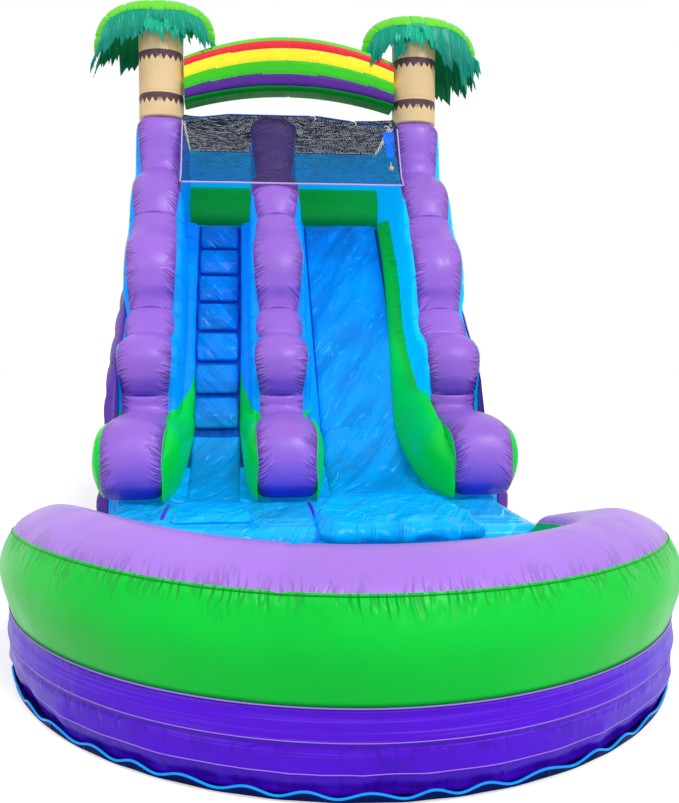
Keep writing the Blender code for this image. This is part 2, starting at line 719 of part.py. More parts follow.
def frond_ring(centre_x, azimuth, share, reach, drop, over_arch):
    """One section of a frond: a rib with a leaf curtain on either side."""
    out = FROND_START_RADIUS + (reach - FROND_START_RADIUS) * math.sin(math.pi / 2 * share)
    ridge = FROND_BASE + FROND_RIB_HEIGHT + FROND_RISE * math.sin(math.pi * share) - drop * share ** 3
    half = min(FROND_HALF_WIDTH * (1.0 - FROND_TIP_SHARE * share ** 3), out - FROND_SIDE_GAP)
    along = Vector((math.cos(azimuth), math.sin(azimuth), 0.0))
    across = Vector((-along.y, along.x, 0.0))
    middle = Vector((centre_x, COLUMN_Y, 0.0)) + along * out
    low = ridge - FROND_SKIRT_HEIGHT
    if out < TRUNK_RADIUS + FROND_TRUNK_GAP:
        low = FROND_BASE
    elif over_arch:
        low = max(low, arch_line(middle.x, ARCH_END_HEIGHT, ARCH_OVER_RISE) + ARCH_CLEARANCE)
    skirt = ridge - low
    wall = min(FROND_THICKNESS, half * FROND_TIP_SHARE / 2)
    shoulder = half * FROND_SHOULDER_SHARE
    shoulder_z = ridge - skirt * FROND_SHOULDER_DROP_SHARE
    half_section = [(half, low), (shoulder, shoulder_z), (0.0, ridge)]
    inner = [(half - wall, low), (shoulder - wall, min(shoulder_z - wall, ridge - FROND_RIB_HEIGHT / 2))]
    section = [(-u, z) for u, z in half_section] + half_section[1::-1] + inner
    section += [(0.0, ridge - FROND_RIB_HEIGHT)] + [(-u, z) for u, z in inner[::-1]]
    return [middle + across * u + Vector((0.0, 0.0, z)) for u, z in section]


def build_fronds():
    """Three fronds on each palm: away from the slide, over the arch and to the front."""
    for tree, side in (("left", -1.0), ("right", 1.0)):
        outward, inward = (math.pi, 0.0) if side < 0.0 else (0.0, math.pi)
        fronds = (
            ("outer", outward, FROND_OUTER_REACH, FROND_OUTER_DROP, False),
            ("arch", inward, FROND_ARCH_REACH, FROND_ARCH_DROP, True),
            ("front", -math.pi / 2, FROND_FRONT_REACH, FROND_FRONT_DROP, False),
        )
        for kind, azimuth, reach, drop, over_arch in fronds:
            rings = [
                frond_ring(side * OUTER_WALL_X, azimuth, share, reach, drop, over_arch)
                for share in spread(0.0, 1.0, FROND_STEPS)
            ]
            loft(f"{tree}_palm_frond_{kind}", rings, "teal_vinyl")


def build_arch():
    """The rainbow arch between the two trunks."""
    reach = OUTER_WALL_X - TRUNK_RADIUS - GAP
    places = spread(-reach, reach, ARCH_STEPS)
    under = [(x, arch_line(x, ARCH_FOOT_HEIGHT, ARCH_UNDER_RISE)) for x in places]
    over = [(x, arch_line(x, ARCH_END_HEIGHT, ARCH_OVER_RISE)) for x in places[::-1]]
    outline(
        "rainbow_arch", under + over, ARCH_DEPTH / 2, "rainbow_vinyl", ARCH_ROUNDING, plane="XZ", centre=COLUMN_Y,
    )


def net_rest():
    """Where the front net rests on the centre wall's cap, as (y, z)."""
    rest_y, rest_z = cap_path()[NET_REST_POINT]
    return rest_y - NET_CLEARANCE * 2, rest_z + NET_CLEARANCE


def net_top(x):
    """The front net's top edge at x as (y, z), lower at its sides but in the same plane."""
    rest_y, rest_z = net_rest()
    top_z = WALL_TOP - NET_TOP_DROP
    away = max(0.0, abs(x - CENTRE_WALL_OFFSET) - WALL_WIDTH) / WALL_FACE
    share = NET_SIDE_DROP * away / (top_z - rest_z)
    return NET_TOP_Y + (rest_y - NET_TOP_Y) * share, top_z + (rest_z - top_z) * share


def build_nets():
    """The net hung in front of the platform, and the net over it."""
    rest = net_rest()
    hem = (rest[0] - NET_HEM_ADVANCE_LENGTH, rest[1] - NET_HEM_DROP)
    rail_y = BODY_REAR_Y - RAIL_THICKNESS
    crown = WALL_TOP + NET_CLEARANCE
    over = [
        (NET_TOP_Y + GAP, WALL_TOP - NET_TOP_DROP), (cap_path()[-2][0], crown),
        (CAP_REAR_Y + NET_CLEARANCE, crown), (rail_y, RAIL_TOP + GAP),
        (rail_y + NET_REAR_REST_LENGTH, RAIL_TOP + GAP),
    ]
    front_rings, roof_rings = [], []
    for x in spread(GAP - WALL_FACE, WALL_FACE - GAP, NET_COLUMNS):
        front_rings.append(sheet_ring(x, [net_top(x), rest, hem], (-NET_THICKNESS, 0.0)))
        roof_rings.append(sheet_ring(x, over, (0.0, NET_THICKNESS)))
    loft("front_net", front_rings, "black_net")
    loft("roof_net", roof_rings, "black_net")


def sheet_ring(x, line, shift):
    """A closed section of a thin sheet at x, from a line and the same line shifted by its thickness."""
    far = [(y + shift[0], z + shift[1]) for y, z in line]
    return [Vector((x, y, z)) for y, z in line + far[::-1]]


def pool_point(angle, inset):
    """A point of the pool's plan, an inset inside its outer line, at an angle round its centre."""
    cos, sin = math.cos(angle), math.sin(angle)
    power = 2.0 / POOL_SQUARENESS
    reach = POOL_FRONT_REACH if sin >= 0.0 else POOL_REAR_REACH
    x = math.copysign(abs(cos) ** power, cos) * (POOL_HALF_WIDTH - inset)
    y = math.copysign(abs(sin) ** power, sin) * (reach - inset if sin >= 0.0 else reach)
    return POOL_SIDE_OFFSET + x, POOL_CENTRE_OFFSET - y


def pool_stations():
    """Angles round the pool's plan, from past the widest place on one side to the other."""
    extra = math.radians(POOL_END_ANGLE_DEG)
    return spread(-extra, math.pi + extra, POOL_STEPS)


def pool_taper(angle, length):
    """How far a place on the tube is from its ends: 0 at an end, 1 past the taper's length."""
    start_y = BED_FRONT_OFFSET - pool_point(angle, 0.0)[1]
    share = min(1.0, max(0.0, start_y / length))
    return share * (2.0 - share)


def pool_ring(angle, shares, low, high):
    """One section of a pool tube between two heights."""
    width = POOL_END_WIDTH + (POOL_TUBE_WIDTH - POOL_END_WIDTH) * pool_taper(angle, POOL_WIDTH_TAPER_LENGTH)
    ring = []
    for inset, rise in shares:
        x, y = pool_point(angle, inset * width)
        ring.append(Vector((x, y, low + (high - low) * rise)))
    return ring


def build_pool():
    """The two stacked tubes of the splash pool and the ground sheet under them."""
    lower, upper = [], []
    for angle in pool_stations():
        taper = pool_taper(angle, POOL_HEIGHT_TAPER_LENGTH)
        top = POOL_END_HEIGHT + (POOL_FRONT_HEIGHT - POOL_END_HEIGHT) * taper
        lower.append(pool_ring(angle, POOL_LOWER_SHARES, SHEET_THICKNESS + GAP, POOL_SPLIT_HEIGHT))
        upper.append(pool_ring(angle, POOL_UPPER_SHARES, POOL_SPLIT_HEIGHT + GAP, top))
    end = BED_FRONT_OFFSET - GAP
    loft("pool_lower_tube", lower, "purple_vinyl", cut_y=end)
    loft("pool_upper_tube", upper, "green_vinyl", cut_y=end)
    foot_inset = POOL_TUBE_WIDTH * POOL_LOWER_SHARES[0][0] - SHEET_MARGIN
    plan = [pool_point(angle, foot_inset) for angle in pool_stations()]
    plan = [(x, min(y, end)) for x, y in plan if y < end + OVERRUN]
    outline("ground_sheet", plan, SHEET_THICKNESS / 2, "blue_vinyl", plane="XY", centre=SHEET_THICKNESS / 2)


def build_blower():
    """The blower that keeps the slide up: its housing, fan, motor, switch and the slide's sleeve."""
    height = BLOWER_HEIGHT
    start = BODY_REAR_Y + GAP
    sleeve_inner = SNOUT_RADIUS + SNOUT_CLEARANCE
    sleeve = cylinder(
        "inflation_sleeve", (BLOWER_OFFSET, start, height), (BLOWER_OFFSET, start + SLEEVE_LENGTH, height),
        sleeve_inner + SLEEVE_WALL_THICKNESS, "purple_vinyl", SNOUT_SIDES,
    )
    bore = cylinder(
        "sleeve_bore", (BLOWER_OFFSET, start - OVERRUN, height),
        (BLOWER_OFFSET, start + SLEEVE_LENGTH + OVERRUN, height), sleeve_inner, "purple_vinyl", SNOUT_SIDES,
        HELPERS,
    )
    boolean(sleeve, bore, "DIFFERENCE")
    half = BLOWER_WIDTH / 2
    tip = BODY_REAR_Y + SLEEVE_LENGTH - SNOUT_SEAT_LENGTH
    low, high = BLOWER_OFFSET - half, BLOWER_OFFSET + half
    housing = cylinder(
        "blower_housing", (low, BLOWER_Y, height), (high, BLOWER_Y, height), BLOWER_RADIUS, "blower_plastic",
        BLOWER_SIDES,
    )
    stand = box(
        "blower_stand", (low, BLOWER_Y - STAND_HALF_DEPTH, 0.0),
        (high, BLOWER_Y + STAND_HALF_DEPTH, STAND_HEIGHT), "blower_plastic", collection=HELPERS,
    )
    snout = cylinder(
        "blower_snout", (BLOWER_OFFSET, tip, height), (BLOWER_OFFSET, BLOWER_Y, height), SNOUT_RADIUS,
        "blower_plastic", SNOUT_SIDES, HELPERS,
    )
    room = cylinder(
        "blower_room", (low + BLOWER_WALL, BLOWER_Y, height), (high - BLOWER_WALL, BLOWER_Y, height),
        BLOWER_RADIUS - BLOWER_WALL, "blower_plastic", BLOWER_SIDES, HELPERS,
    )
    outlet = cylinder(
        "blower_outlet", (BLOWER_OFFSET, tip - OVERRUN, height), (BLOWER_OFFSET, BLOWER_Y - BLOWER_WALL, height),
        SNOUT_RADIUS - BLOWER_WALL, "blower_plastic", SNOUT_SIDES, HELPERS,
    )
    intake = cylinder(
        "blower_intake", (low - OVERRUN, BLOWER_Y, height), (low + BLOWER_WALL * 2, BLOWER_Y, height),
        INTAKE_RADIUS, "blower_plastic", BLOWER_SIDES, HELPERS,
    )
    shaft_hole = cylinder(
        "blower_shaft_hole", (high - BLOWER_WALL * 2, BLOWER_Y, height), (high + OVERRUN, BLOWER_Y, height),
        SHAFT_RADIUS + SHAFT_CLEARANCE, "blower_plastic", TRUNK_SIDES, HELPERS,
    )
    boolean(housing, stand, "UNION")
    boolean(housing, snout, "UNION")
    for cutter in (room, outlet, intake, shaft_hole):
        boolean(housing, cutter, "DIFFERENCE")
    build_motor(high, height)
    build_fan(high, height)
    build_switch(high, height + SWITCH_OFFSET)


def build_motor(face_x, height):
    """The motor on the housing's side, with a bearing bore for the fan's shaft."""
    motor = cylinder(
        "blower_motor", (face_x + GAP, BLOWER_Y, height), (face_x + MOTOR_LENGTH, BLOWER_Y, height), MOTOR_RADIUS,
        "black_plastic", BLOWER_SIDES,
    )
    bevel = motor.modifiers.new("rounded_rims", "BEVEL")
    bevel.width = MOTOR_ROUNDING
    bearing = cylinder(
        "motor_bearing", (face_x - OVERRUN, BLOWER_Y, height),
        (face_x + SHAFT_SEAT + SHAFT_CLEARANCE, BLOWER_Y, height),
        SHAFT_RADIUS + SHAFT_CLEARANCE, "black_plastic", TRUNK_SIDES, HELPERS,
    )
    boolean(motor, bearing, "DIFFERENCE")


def build_fan(face_x, height):
    """The fan wheel: a disc with blades round its rim and a shaft into the motor."""
    disc_x = BLOWER_OFFSET + FAN_WIDTH / 2
    fan = cylinder(
        "blower_fan", (disc_x - FAN_DISC, 0.0, 0.0), (disc_x, 0.0, 0.0), FAN_RADIUS, "steel", BLOWER_SIDES,
    )
    fan.location += Vector((0.0, BLOWER_Y, height))
    hub = cylinder(
        "fan_hub", (disc_x - FAN_DISC * 3, BLOWER_Y, height), (disc_x + FAN_DISC, BLOWER_Y, height),
        FAN_HUB_RADIUS, "steel", TRUNK_SIDES, HELPERS,
    )
    shaft = cylinder(
        "fan_shaft", (disc_x - FAN_DISC, BLOWER_Y, height), (face_x + SHAFT_SEAT, BLOWER_Y, height), SHAFT_RADIUS,
        "steel", TRUNK_SIDES, HELPERS,
    )
    blades = bmesh.new()
    for i in range(FAN_BLADES):
        made = bmesh.ops.create_cube(blades, size=1.0)["verts"]
        size = Vector((FAN_WIDTH - FAN_DISC / 2, FAN_BLADE_THICKNESS, FAN_BLADE_DEPTH))
        bmesh.ops.scale(blades, vec=size, verts=made)
        place = Vector((0.0, 0.0, FAN_RADIUS - FAN_BLADE_DEPTH / 2 - FAN_DISC))
        bmesh.ops.translate(blades, vec=place, verts=made)
        turn = Matrix.Rotation(math.tau * i / FAN_BLADES, 3, "X")
        bmesh.ops.rotate(blades, matrix=turn, verts=made)
    row = mesh_object("fan_blades", blades, "steel", HELPERS)
    row.location = (disc_x - FAN_DISC - (FAN_WIDTH - FAN_DISC) / 2 + FAN_DISC / 2, BLOWER_Y, height)
    for other in (hub, shaft, row):
        boolean(fan, other, "UNION")


def build_switch(face_x, height):
    """The rocker switch on the housing's side, with its back cut away so that it can tilt."""
    half = SWITCH_HEIGHT / 2
    relief = half * math.tan(math.radians(SWITCH_TILT_DEG))
    profile = [
        (0.0, 0.0), (relief, half), (SWITCH_DEPTH, half), (SWITCH_DEPTH * SWITCH_DISH_SHARE, 0.0),
        (SWITCH_DEPTH, -half), (relief, -half),
    ]
    switch = outline("blower_switch", profile, SWITCH_WIDTH / 2, "black_plastic", plane="XZ", centre=BLOWER_Y)
    switch.location.x = face_x + GAP
    switch.location.z = height


def build_vent():
    """The zipped vent that lets the air out, with its pull and its cover flap."""
    face = BODY_REAR_Y + GAP
    half = VENT_WIDTH / 2
    low = VENT_HEIGHT - ZIP_TAPE_HEIGHT / 2
    box(
        "vent_zip_tape", (VENT_SIDE_OFFSET - half, face, low),
        (VENT_SIDE_OFFSET + half, face + ZIP_TAPE_THICKNESS, low + ZIP_TAPE_HEIGHT),
        "black_plastic",
    )
    pull_y = face + ZIP_TAPE_THICKNESS + GAP
    pull_x = VENT_SIDE_OFFSET - half + ZIP_MARGIN
    box(
        "vent_zip_pull", (pull_x, pull_y, VENT_HEIGHT - ZIP_PULL_HEIGHT / 2),
        (pull_x + ZIP_PULL_WIDTH, pull_y + ZIP_PULL_THICKNESS, VENT_HEIGHT + ZIP_PULL_HEIGHT / 2), "steel",
    )
    hang = ZIP_TAPE_THICKNESS + ZIP_PULL_THICKNESS + GAP * 3
    profile = [
        (0.0, 0.0), (0.0, -FLAP_HEADER_HEIGHT), (hang, -FLAP_HEADER_HEIGHT), (hang, -FLAP_HEIGHT),
        (hang + FLAP_THICKNESS, -FLAP_HEIGHT), (hang + FLAP_THICKNESS, 0.0),
    ]
    flap = outline("vent_flap", profile, half + FLAP_OVERHANG_LENGTH, "purple_vinyl", centre=VENT_SIDE_OFFSET)
    flap.location.y = face
    flap.location.z = VENT_HEIGHT + FLAP_RISE


def build_anchor(name, side, y):
    """A sewn patch with a webbing loop, and the ring that hangs in it."""
    face = side * (SIDE_FACE_X + GAP)
    height = PLATFORM_HEIGHT / round(PLATFORM_HEIGHT / TUBE_PITCH_HEIGHT) / 2
    loop_radius = RING_WIRE_RADIUS + KEEPER_CLEARANCE
    outer_radius = loop_radius + KEEPER_WALL_THICKNESS
    loop_x = face + side * (PATCH_THICKNESS + loop_radius + KEEPER_WALL_THICKNESS / 2)
    patch_end = face + side * PATCH_THICKNESS
    patch = box(
        f"anchor_patch_{name}",
        (min(face, patch_end), y - PATCH_WIDTH / 2, height - PATCH_HEIGHT / 2),
        (max(face, patch_end), y + PATCH_WIDTH / 2, height + PATCH_HEIGHT / 2), "black_plastic",
    )
    loop = cylinder(
        f"anchor_loop_{name}", (loop_x, y - KEEPER_WIDTH / 2, height), (loop_x, y + KEEPER_WIDTH / 2, height),
        outer_radius, "black_plastic", KEEPER_SIDES, HELPERS,
    )
    hole = cylinder(
        f"anchor_hole_{name}", (loop_x, y - KEEPER_WIDTH, height), (loop_x, y + KEEPER_WIDTH, height),
        loop_radius, "black_plastic", KEEPER_SIDES, HELPERS,
    )
    boolean(patch, loop, "UNION")
    boolean(patch, hole, "DIFFERENCE")
    leg = RING_DROP * RING_LEG_DROP_SHARE
    points = [(-RING_HALF_WIDTH, 0.0), (-RING_HALF_WIDTH, -leg)]
    for i in range(1, RING_ARC_STEPS):
        angle = math.pi * i / RING_ARC_STEPS
        points.append((-RING_HALF_WIDTH * math.cos(angle), -leg - (RING_DROP - leg) * math.sin(angle)))
    points += [(RING_HALF_WIDTH, -leg), (RING_HALF_WIDTH, 0.0)]
    curve = bpy.data.curves.new(f"anchor_ring_{name}", "CURVE")
    curve.dimensions = "3D"
    curve.bevel_depth = RING_WIRE_RADIUS
    curve.bevel_resolution = 2
    spline = curve.splines.new("POLY")
    spline.points.add(len(points) - 1)
    for point, (along, up) in zip(spline.points, points):
        point.co = (0.0, along, up, 1.0)
    spline.use_cyclic_u = True
    ring = add_object(f"anchor_ring_{name}", curve, "steel")
    ring.location = (loop_x, y, height)


def build_anchors():
    """The four anchor rings, low on the sides."""
    for side_name, side in (("left", -1.0), ("right", 1.0)):
        for place, y in (("front", ANCHOR_FRONT_OFFSET), ("rear", ANCHOR_REAR_Y)):
            build_anchor(f"{side_name}_{place}", side, y)


def turned(name, profile, finish, steps):
    """A profile of (radius, height) points, from top to bottom, turned about the vertical axis."""
    shape = bmesh.new()
    verts = [shape.verts.new((radius, 0.0, height)) for radius, height in profile]
    for near, far in zip(verts, verts[1:]):
        shape.edges.new((near, far))
    data = bpy.data.meshes.new(name)
    shape.to_mesh(data)
    shape.free()
    obj = add_object(name, data, finish)
    screw = obj.modifiers.new("turn", "SCREW")
    screw.steps = steps
    screw.render_steps = steps
    screw.use_merge_vertices = True
    screw.merge_threshold = GAP / 10
    return obj


def build_hose_socket():
    """The socket on the rear that a garden hose feeds the water line through."""
    outer = HOSE_BORE_RADIUS + HOSE_WALL_THICKNESS
    floor = HOSE_LENGTH - HOSE_BORE_DEPTH
    profile = [
        (0.0, floor), (HOSE_BORE_RADIUS, floor), (HOSE_BORE_RADIUS, HOSE_LENGTH), (outer, HOSE_LENGTH),
        (outer, HOSE_FLANGE_THICKNESS), (HOSE_FLANGE_RADIUS, HOSE_FLANGE_THICKNESS), (HOSE_FLANGE_RADIUS, 0.0),
        (0.0, 0.0),
    ]
    socket = turned("hose_socket", profile, "black_plastic", HOSE_STEPS)
    socket.rotation_euler.x = -math.pi / 2
    socket.location = (HOSE_SIDE_OFFSET, BODY_REAR_Y + GAP, HOSE_HEIGHT)


def build_tie():
    """The crumpled strap that hangs on the front net, with a ball on its cord."""
    neck = TIE_BALL_RADIUS * math.cos(math.asin(TIE_CORD_RADIUS / TIE_BALL_RADIUS))
    tie_x = WALL_FACE - TIE_SIDE_MARGIN
    top, rest = Vector((tie_x, *net_top(tie_x))), Vector((tie_x, *net_rest()))
    reach = (rest - top).length - TIE_TOP_DROP - TIE_FOOT_MARGIN
    centre = TIE_BALL_RADIUS - reach
    length = -centre - neck - TIE_CORD_LENGTH - GAP
    down = (rest - top).normalized()
    out = Vector((0.0, down.z, -down.y))
    face = top + down * TIE_TOP_DROP - Vector((0.0, NET_THICKNESS, 0.0))
    hang = face + out * (TIE_THICKNESS / 2 + GAP)
    lift = math.atan((TIE_BALL_RADIUS - TIE_THICKNESS / 2 + GAP) / -centre)
    tilt = math.atan2(down.y, -down.z) - lift
    strap = box(
        "hanging_tie", (-TIE_WIDTH / 2, -TIE_THICKNESS / 2, -length), (TIE_WIDTH / 2, TIE_THICKNESS / 2, 0.0),
        "blue_vinyl",
    )
    shape_shift = Matrix.Translation((0.0, 0.0, -length / 2))
    strap.data.transform(shape_shift)
    strap.location = hang
    strap.rotation_euler.x = tilt
    profile = [(0.0, -length - GAP), (TIE_CORD_RADIUS, -length - GAP), (TIE_CORD_RADIUS, centre + neck)]
    start = math.asin(TIE_CORD_RADIUS / TIE_BALL_RADIUS)
    for i in range(1, TIE_BALL_STEPS):
        angle = start + (math.pi - start) * i / TIE_BALL_STEPS
        profile.append((TIE_BALL_RADIUS * math.sin(angle), centre + TIE_BALL_RADIUS * math.cos(angle)))
    profile.append((0.0, centre - TIE_BALL_RADIUS))
    ball = turned("tie_ball", profile, "tan_vinyl", TIE_TURN_STEPS)
    ball.location = hang
    ball.rotation_euler.x = tilt


def main():
    """Builds every piece."""
    build_bed()
    build_deck()
    build_platform()
    build_side("left_side_body", -1.0)
    build_side("right_side_body", 1.0)
    build_rear()
    build_rails()
    build_walls()
    build_steps()
    build_covers()
    build_trunks()
    build_fronds()
    build_arch()
    build_nets()
    build_pool()
    build_blower()
    build_vent()
    build_anchors()
    build_hose_socket()
    build_tie()


main()
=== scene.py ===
"""Looks of an inflatable water slide: puffed vinyl chambers, loose liners, nets, palms and a splash pool.

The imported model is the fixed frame. Soft chambers are replaced by puffed skins in the same places,
in metres, +Z up, with riders coming down towards -Y.
"""

from __future__ import annotations

import logging
import math
from dataclasses import dataclass
from enum import Enum
from typing import Callable, Sequence, Union

import bmesh
import bpy
import numpy as np
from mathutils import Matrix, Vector, noise


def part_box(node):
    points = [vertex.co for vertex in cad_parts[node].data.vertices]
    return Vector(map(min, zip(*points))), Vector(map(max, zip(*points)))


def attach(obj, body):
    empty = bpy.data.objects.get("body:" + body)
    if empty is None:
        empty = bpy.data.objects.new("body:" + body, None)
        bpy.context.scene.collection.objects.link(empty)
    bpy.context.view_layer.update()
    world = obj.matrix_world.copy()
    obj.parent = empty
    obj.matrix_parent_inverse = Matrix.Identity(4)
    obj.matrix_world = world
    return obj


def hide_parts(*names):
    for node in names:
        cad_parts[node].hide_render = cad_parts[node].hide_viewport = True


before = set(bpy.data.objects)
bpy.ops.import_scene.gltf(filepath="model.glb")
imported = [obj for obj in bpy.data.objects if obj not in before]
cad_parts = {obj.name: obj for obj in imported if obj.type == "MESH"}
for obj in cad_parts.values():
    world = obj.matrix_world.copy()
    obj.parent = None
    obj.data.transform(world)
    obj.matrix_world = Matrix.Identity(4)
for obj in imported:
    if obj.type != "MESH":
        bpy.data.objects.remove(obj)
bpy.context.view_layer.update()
LOG = logging.getLogger("water_slide")

ROOT = "slide"
SEAM_FACTS = "seam"
GAP = 0.0003

# Sizes shared with the solids
WALL_TOP = 3.575
BED_HEIGHT = 0.40
PLATFORM_HEIGHT = 2.62
PLATFORM_EDGE_Y = 3.05
COLUMN_Y = 2.80
CAP_REAR_Y = 3.06
BODY_REAR_Y = 4.20
OUTER_WALL_X = 1.175
CENTRE_WALL_X = -0.153
WALL_HALF = 0.20
WALL_FACE = OUTER_WALL_X - WALL_HALF
BODY_HALF = OUTER_WALL_X + WALL_HALF
BED_FRONT_Y = -0.95
RUNOUT_START_Y = 0.13631
RUNOUT_RADIUS = 1.60
SLOPE = math.radians(44.5)
TUBE_PITCH = PLATFORM_HEIGHT / 6
CAP_RISE = WALL_TOP - BED_HEIGHT
CAP_WAVE_SHARES = (
    (0.045, 0.002), (0.003, 0.035), (-0.010, 0.092), (0.016, 0.146), (0.080, 0.174),
    (0.210, 0.181), (0.332, 0.178), (0.343, 0.208), (0.328, 0.258), (0.335, 0.315),
    (0.378, 0.354), (0.457, 0.369), (0.536, 0.428), (0.537, 0.488), (0.549, 0.551),
    (0.594, 0.608), (0.668, 0.650), (0.701, 0.687), (0.737, 0.750), (0.804, 0.804),
    (0.893, 0.838), (0.910, 0.882), (0.915, 0.935), (0.924, 0.972), (0.945, 0.990), (0.985, 1.000),
)
CAP_SEAM_POINTS = (6, 7, 11, 12, 17, 20)
SIDE_TOP_POINTS = (
    (0.42, 0.422), (0.70, 0.660), (0.952, 1.199), (1.148, 1.399), (1.70, 1.799), (2.352, 2.220), (3.052, 2.62),
    (4.30, 2.62),
)

Facts = tuple[float, float, float]
Spot = tuple[Vector, Facts]
Place = Callable[[float, float], Spot]
Point = tuple[float, float]
Colour = tuple[float, float, float]

COAT_ROUGHNESS = 0.12
WAVE_HEIGHT = 0.02


def linear(red: float, green: float, blue: float) -> tuple[float, float, float, float]:
    """The shader colour of a screen colour from 0 to 255.

    Args:
        red: its red.
        green: its green.
        blue: its blue.

    Returns:
        The colour with its alpha.
    """
    def channel(value: float) -> float:
        """One channel, made linear."""
        share = value / 255
        return share / 12.92 if share <= 0.04045 else ((share + 0.055) / 1.055) ** 2.4
    return channel(red), channel(green), channel(blue), 1.0


def ease(value: float, low: float, high: float) -> float:
    """0 below low and 1 above high, with a soft start and end."""
    share = min(1.0, max(0.0, (value - low) / (high - low)))
    return share * share * (3.0 - 2.0 * share)


def bump(value: float, width: float) -> float:
    """1 at zero, falling to nothing a few widths away."""
    return math.exp(-(value / width) ** 2)


def rough(x: float, y: float, z: float = 0.0) -> float:
    """A steady unevenness from -1 to 1 at a place."""
    return noise.noise(Vector((x, y, z)))


def along(path: Sequence[Point], y: float) -> float:
    """The height of a path of (y, z) points at y."""
    return float(np.interp(y, [p[0] for p in path], [p[1] for p in path]))


class Line:
    """A line in a plane, smoothed through its points and read by the length along it."""

    def __init__(self, points: Sequence[Point], smooth_steps: int = 8) -> None:
        """Measures the line.

        Args:
            points: the points it passes through, in order.
            smooth_steps: pieces between two points, or 1 for straight ones.
        """
        knots = [Vector(p) for p in points]
        dense = []
        for i in range(len(knots) - 1):
            before, start = knots[max(i - 1, 0)], knots[i]
            end, after = knots[i + 1], knots[min(i + 2, len(knots) - 1)]
            for step in range(smooth_steps):
                t = step / smooth_steps
                dense.append(start * (1 - t) + end * t if smooth_steps == 1 else (
                    (start * 2) + (end - before) * t
                    + (before * 2 - start * 5 + end * 4 - after) * t ** 2
                    + (start * 3 - before - end * 3 + after) * t ** 3
                ) / 2)
        dense.append(knots[-1])
        self.knots = np.array([list(p) for p in dense])
        steps = np.hypot(*np.diff(self.knots, axis=0).T)
        self.marks = np.concatenate([[0.0], np.cumsum(steps)])
        self.length = float(self.marks[-1])

    def at(self, mark: float) -> Point:
        """The point at a length along the line.

        Args:
            mark: the length along the line.

        Returns:
            The point.
        """
        return (
            float(np.interp(mark, self.marks, self.knots[:, 0])), float(np.interp(mark, self.marks, self.knots[:, 1])),
        )

    def normal(self, mark: float, reach: float = 0.012) -> Point:
        """The direction to the line's left side at a length along it.

        Args:
            mark: the length along the line.
            reach: how far to each side the direction is measured.

        Returns:
            The direction, of length 1.
        """
        start, end = self.at(max(0.0, mark - reach)), self.at(min(self.length, mark + reach))
        step = math.hypot(end[0] - start[0], end[1] - start[1])
        return -(end[1] - start[1]) / step, (end[0] - start[0]) / step

    def mark_near(self, point: Point) -> float:
        """The length along the line at which it comes closest to a point."""
        away = np.hypot(self.knots[:, 0] - point[0], self.knots[:, 1] - point[1])
        return float(self.marks[int(away.argmin())])


def deck_points() -> list[Point]:
    """The riding surface from the pool side of the bed to the rear, as (y, z).

    Returns:
        The points, in order.
    """
    points = [(BED_FRONT_Y, BED_HEIGHT)]
    for i in range(15):
        angle = SLOPE * i / 14
        points.append((
            RUNOUT_START_Y + RUNOUT_RADIUS * math.sin(angle), BED_HEIGHT + RUNOUT_RADIUS * (1 - math.cos(angle)),
        ))
    return points + [(PLATFORM_EDGE_Y, PLATFORM_HEIGHT), (BODY_REAR_Y, PLATFORM_HEIGHT)]


DECK = deck_points()
CAP_POINTS = [(run * COLUMN_Y, BED_HEIGHT + GAP + rise * CAP_RISE) for run, rise in CAP_WAVE_SHARES]
CAP_LINE = Line(CAP_POINTS + [(CAP_REAR_Y, WALL_TOP)])
CAP_SEAMS = [0.0] + [CAP_LINE.mark_near(CAP_POINTS[i]) for i in CAP_SEAM_POINTS] + [CAP_LINE.length]


def skin(columns: int, rows: int, place: Place, paint: Callable[[float, float], int] | None = None,
         wrap: bool = True) -> bmesh.types.BMesh:
    """A grid moved on to a shape: the base of every puffed panel.

    Args:
        columns: faces across the grid, from u = 0 to 1.
        rows: faces along the grid, from v = 0 to 1.
        place: gives the point and the seam facts at (u, v).
        paint: gives the number of the finish at (u, v).
        wrap: merges vertices that fall together, which closes seams and poles.

    Returns:
        The shape, with the seam facts in its own layer.
    """
    shape = bmesh.new()
    bmesh.ops.create_grid(shape, x_segments=columns, y_segments=rows, size=0.5)
    facts = shape.verts.layers.float_vector.new(SEAM_FACTS)
    if paint:
        for face in shape.faces:
            centre = face.calc_center_median()
            face.material_index = paint(centre.x + 0.5, centre.y + 0.5)
    for vert in shape.verts:
        point, seam = place(min(1.0, max(0.0, vert.co.x + 0.5)), min(1.0, max(0.0, vert.co.y + 0.5)))
        vert.co = point
        vert[facts] = seam
    if wrap:
        bmesh.ops.remove_doubles(shape, verts=shape.verts, dist=1e-5)
        bmesh.ops.dissolve_degenerate(shape, dist=1e-6, edges=shape.edges)
    return shape


class Wire:
    """A varying shader value that plain arithmetic can go on with."""

    def __init__(self, graph: Graph, socket: bpy.types.NodeSocket) -> None:
        """Keeps the value's graph and socket."""
        self.graph = graph
        self.socket = socket

    def __add__(self, other: Value) -> Wire:
        """The sum with a value."""
        return self.graph.math("ADD", self, other)

    def __sub__(self, other: Value) -> Wire:
        """The value less another."""
        return self.graph.math("SUBTRACT", self, other)

    def __rsub__(self, other: Value) -> Wire:
        """Another value less this one."""
        return self.graph.math("SUBTRACT", other, self)

    def __mul__(self, other: Value) -> Wire:
        """The product with a value."""
        return self.graph.math("MULTIPLY", self, other)

    def __truediv__(self, other: Value) -> Wire:
        """The value shared by another."""
        return self.graph.math("DIVIDE", self, other)

    def __abs__(self) -> Wire:
        """The size without its sign."""
        return self.graph.math("ABSOLUTE", self)


Value = Union[Wire, float]


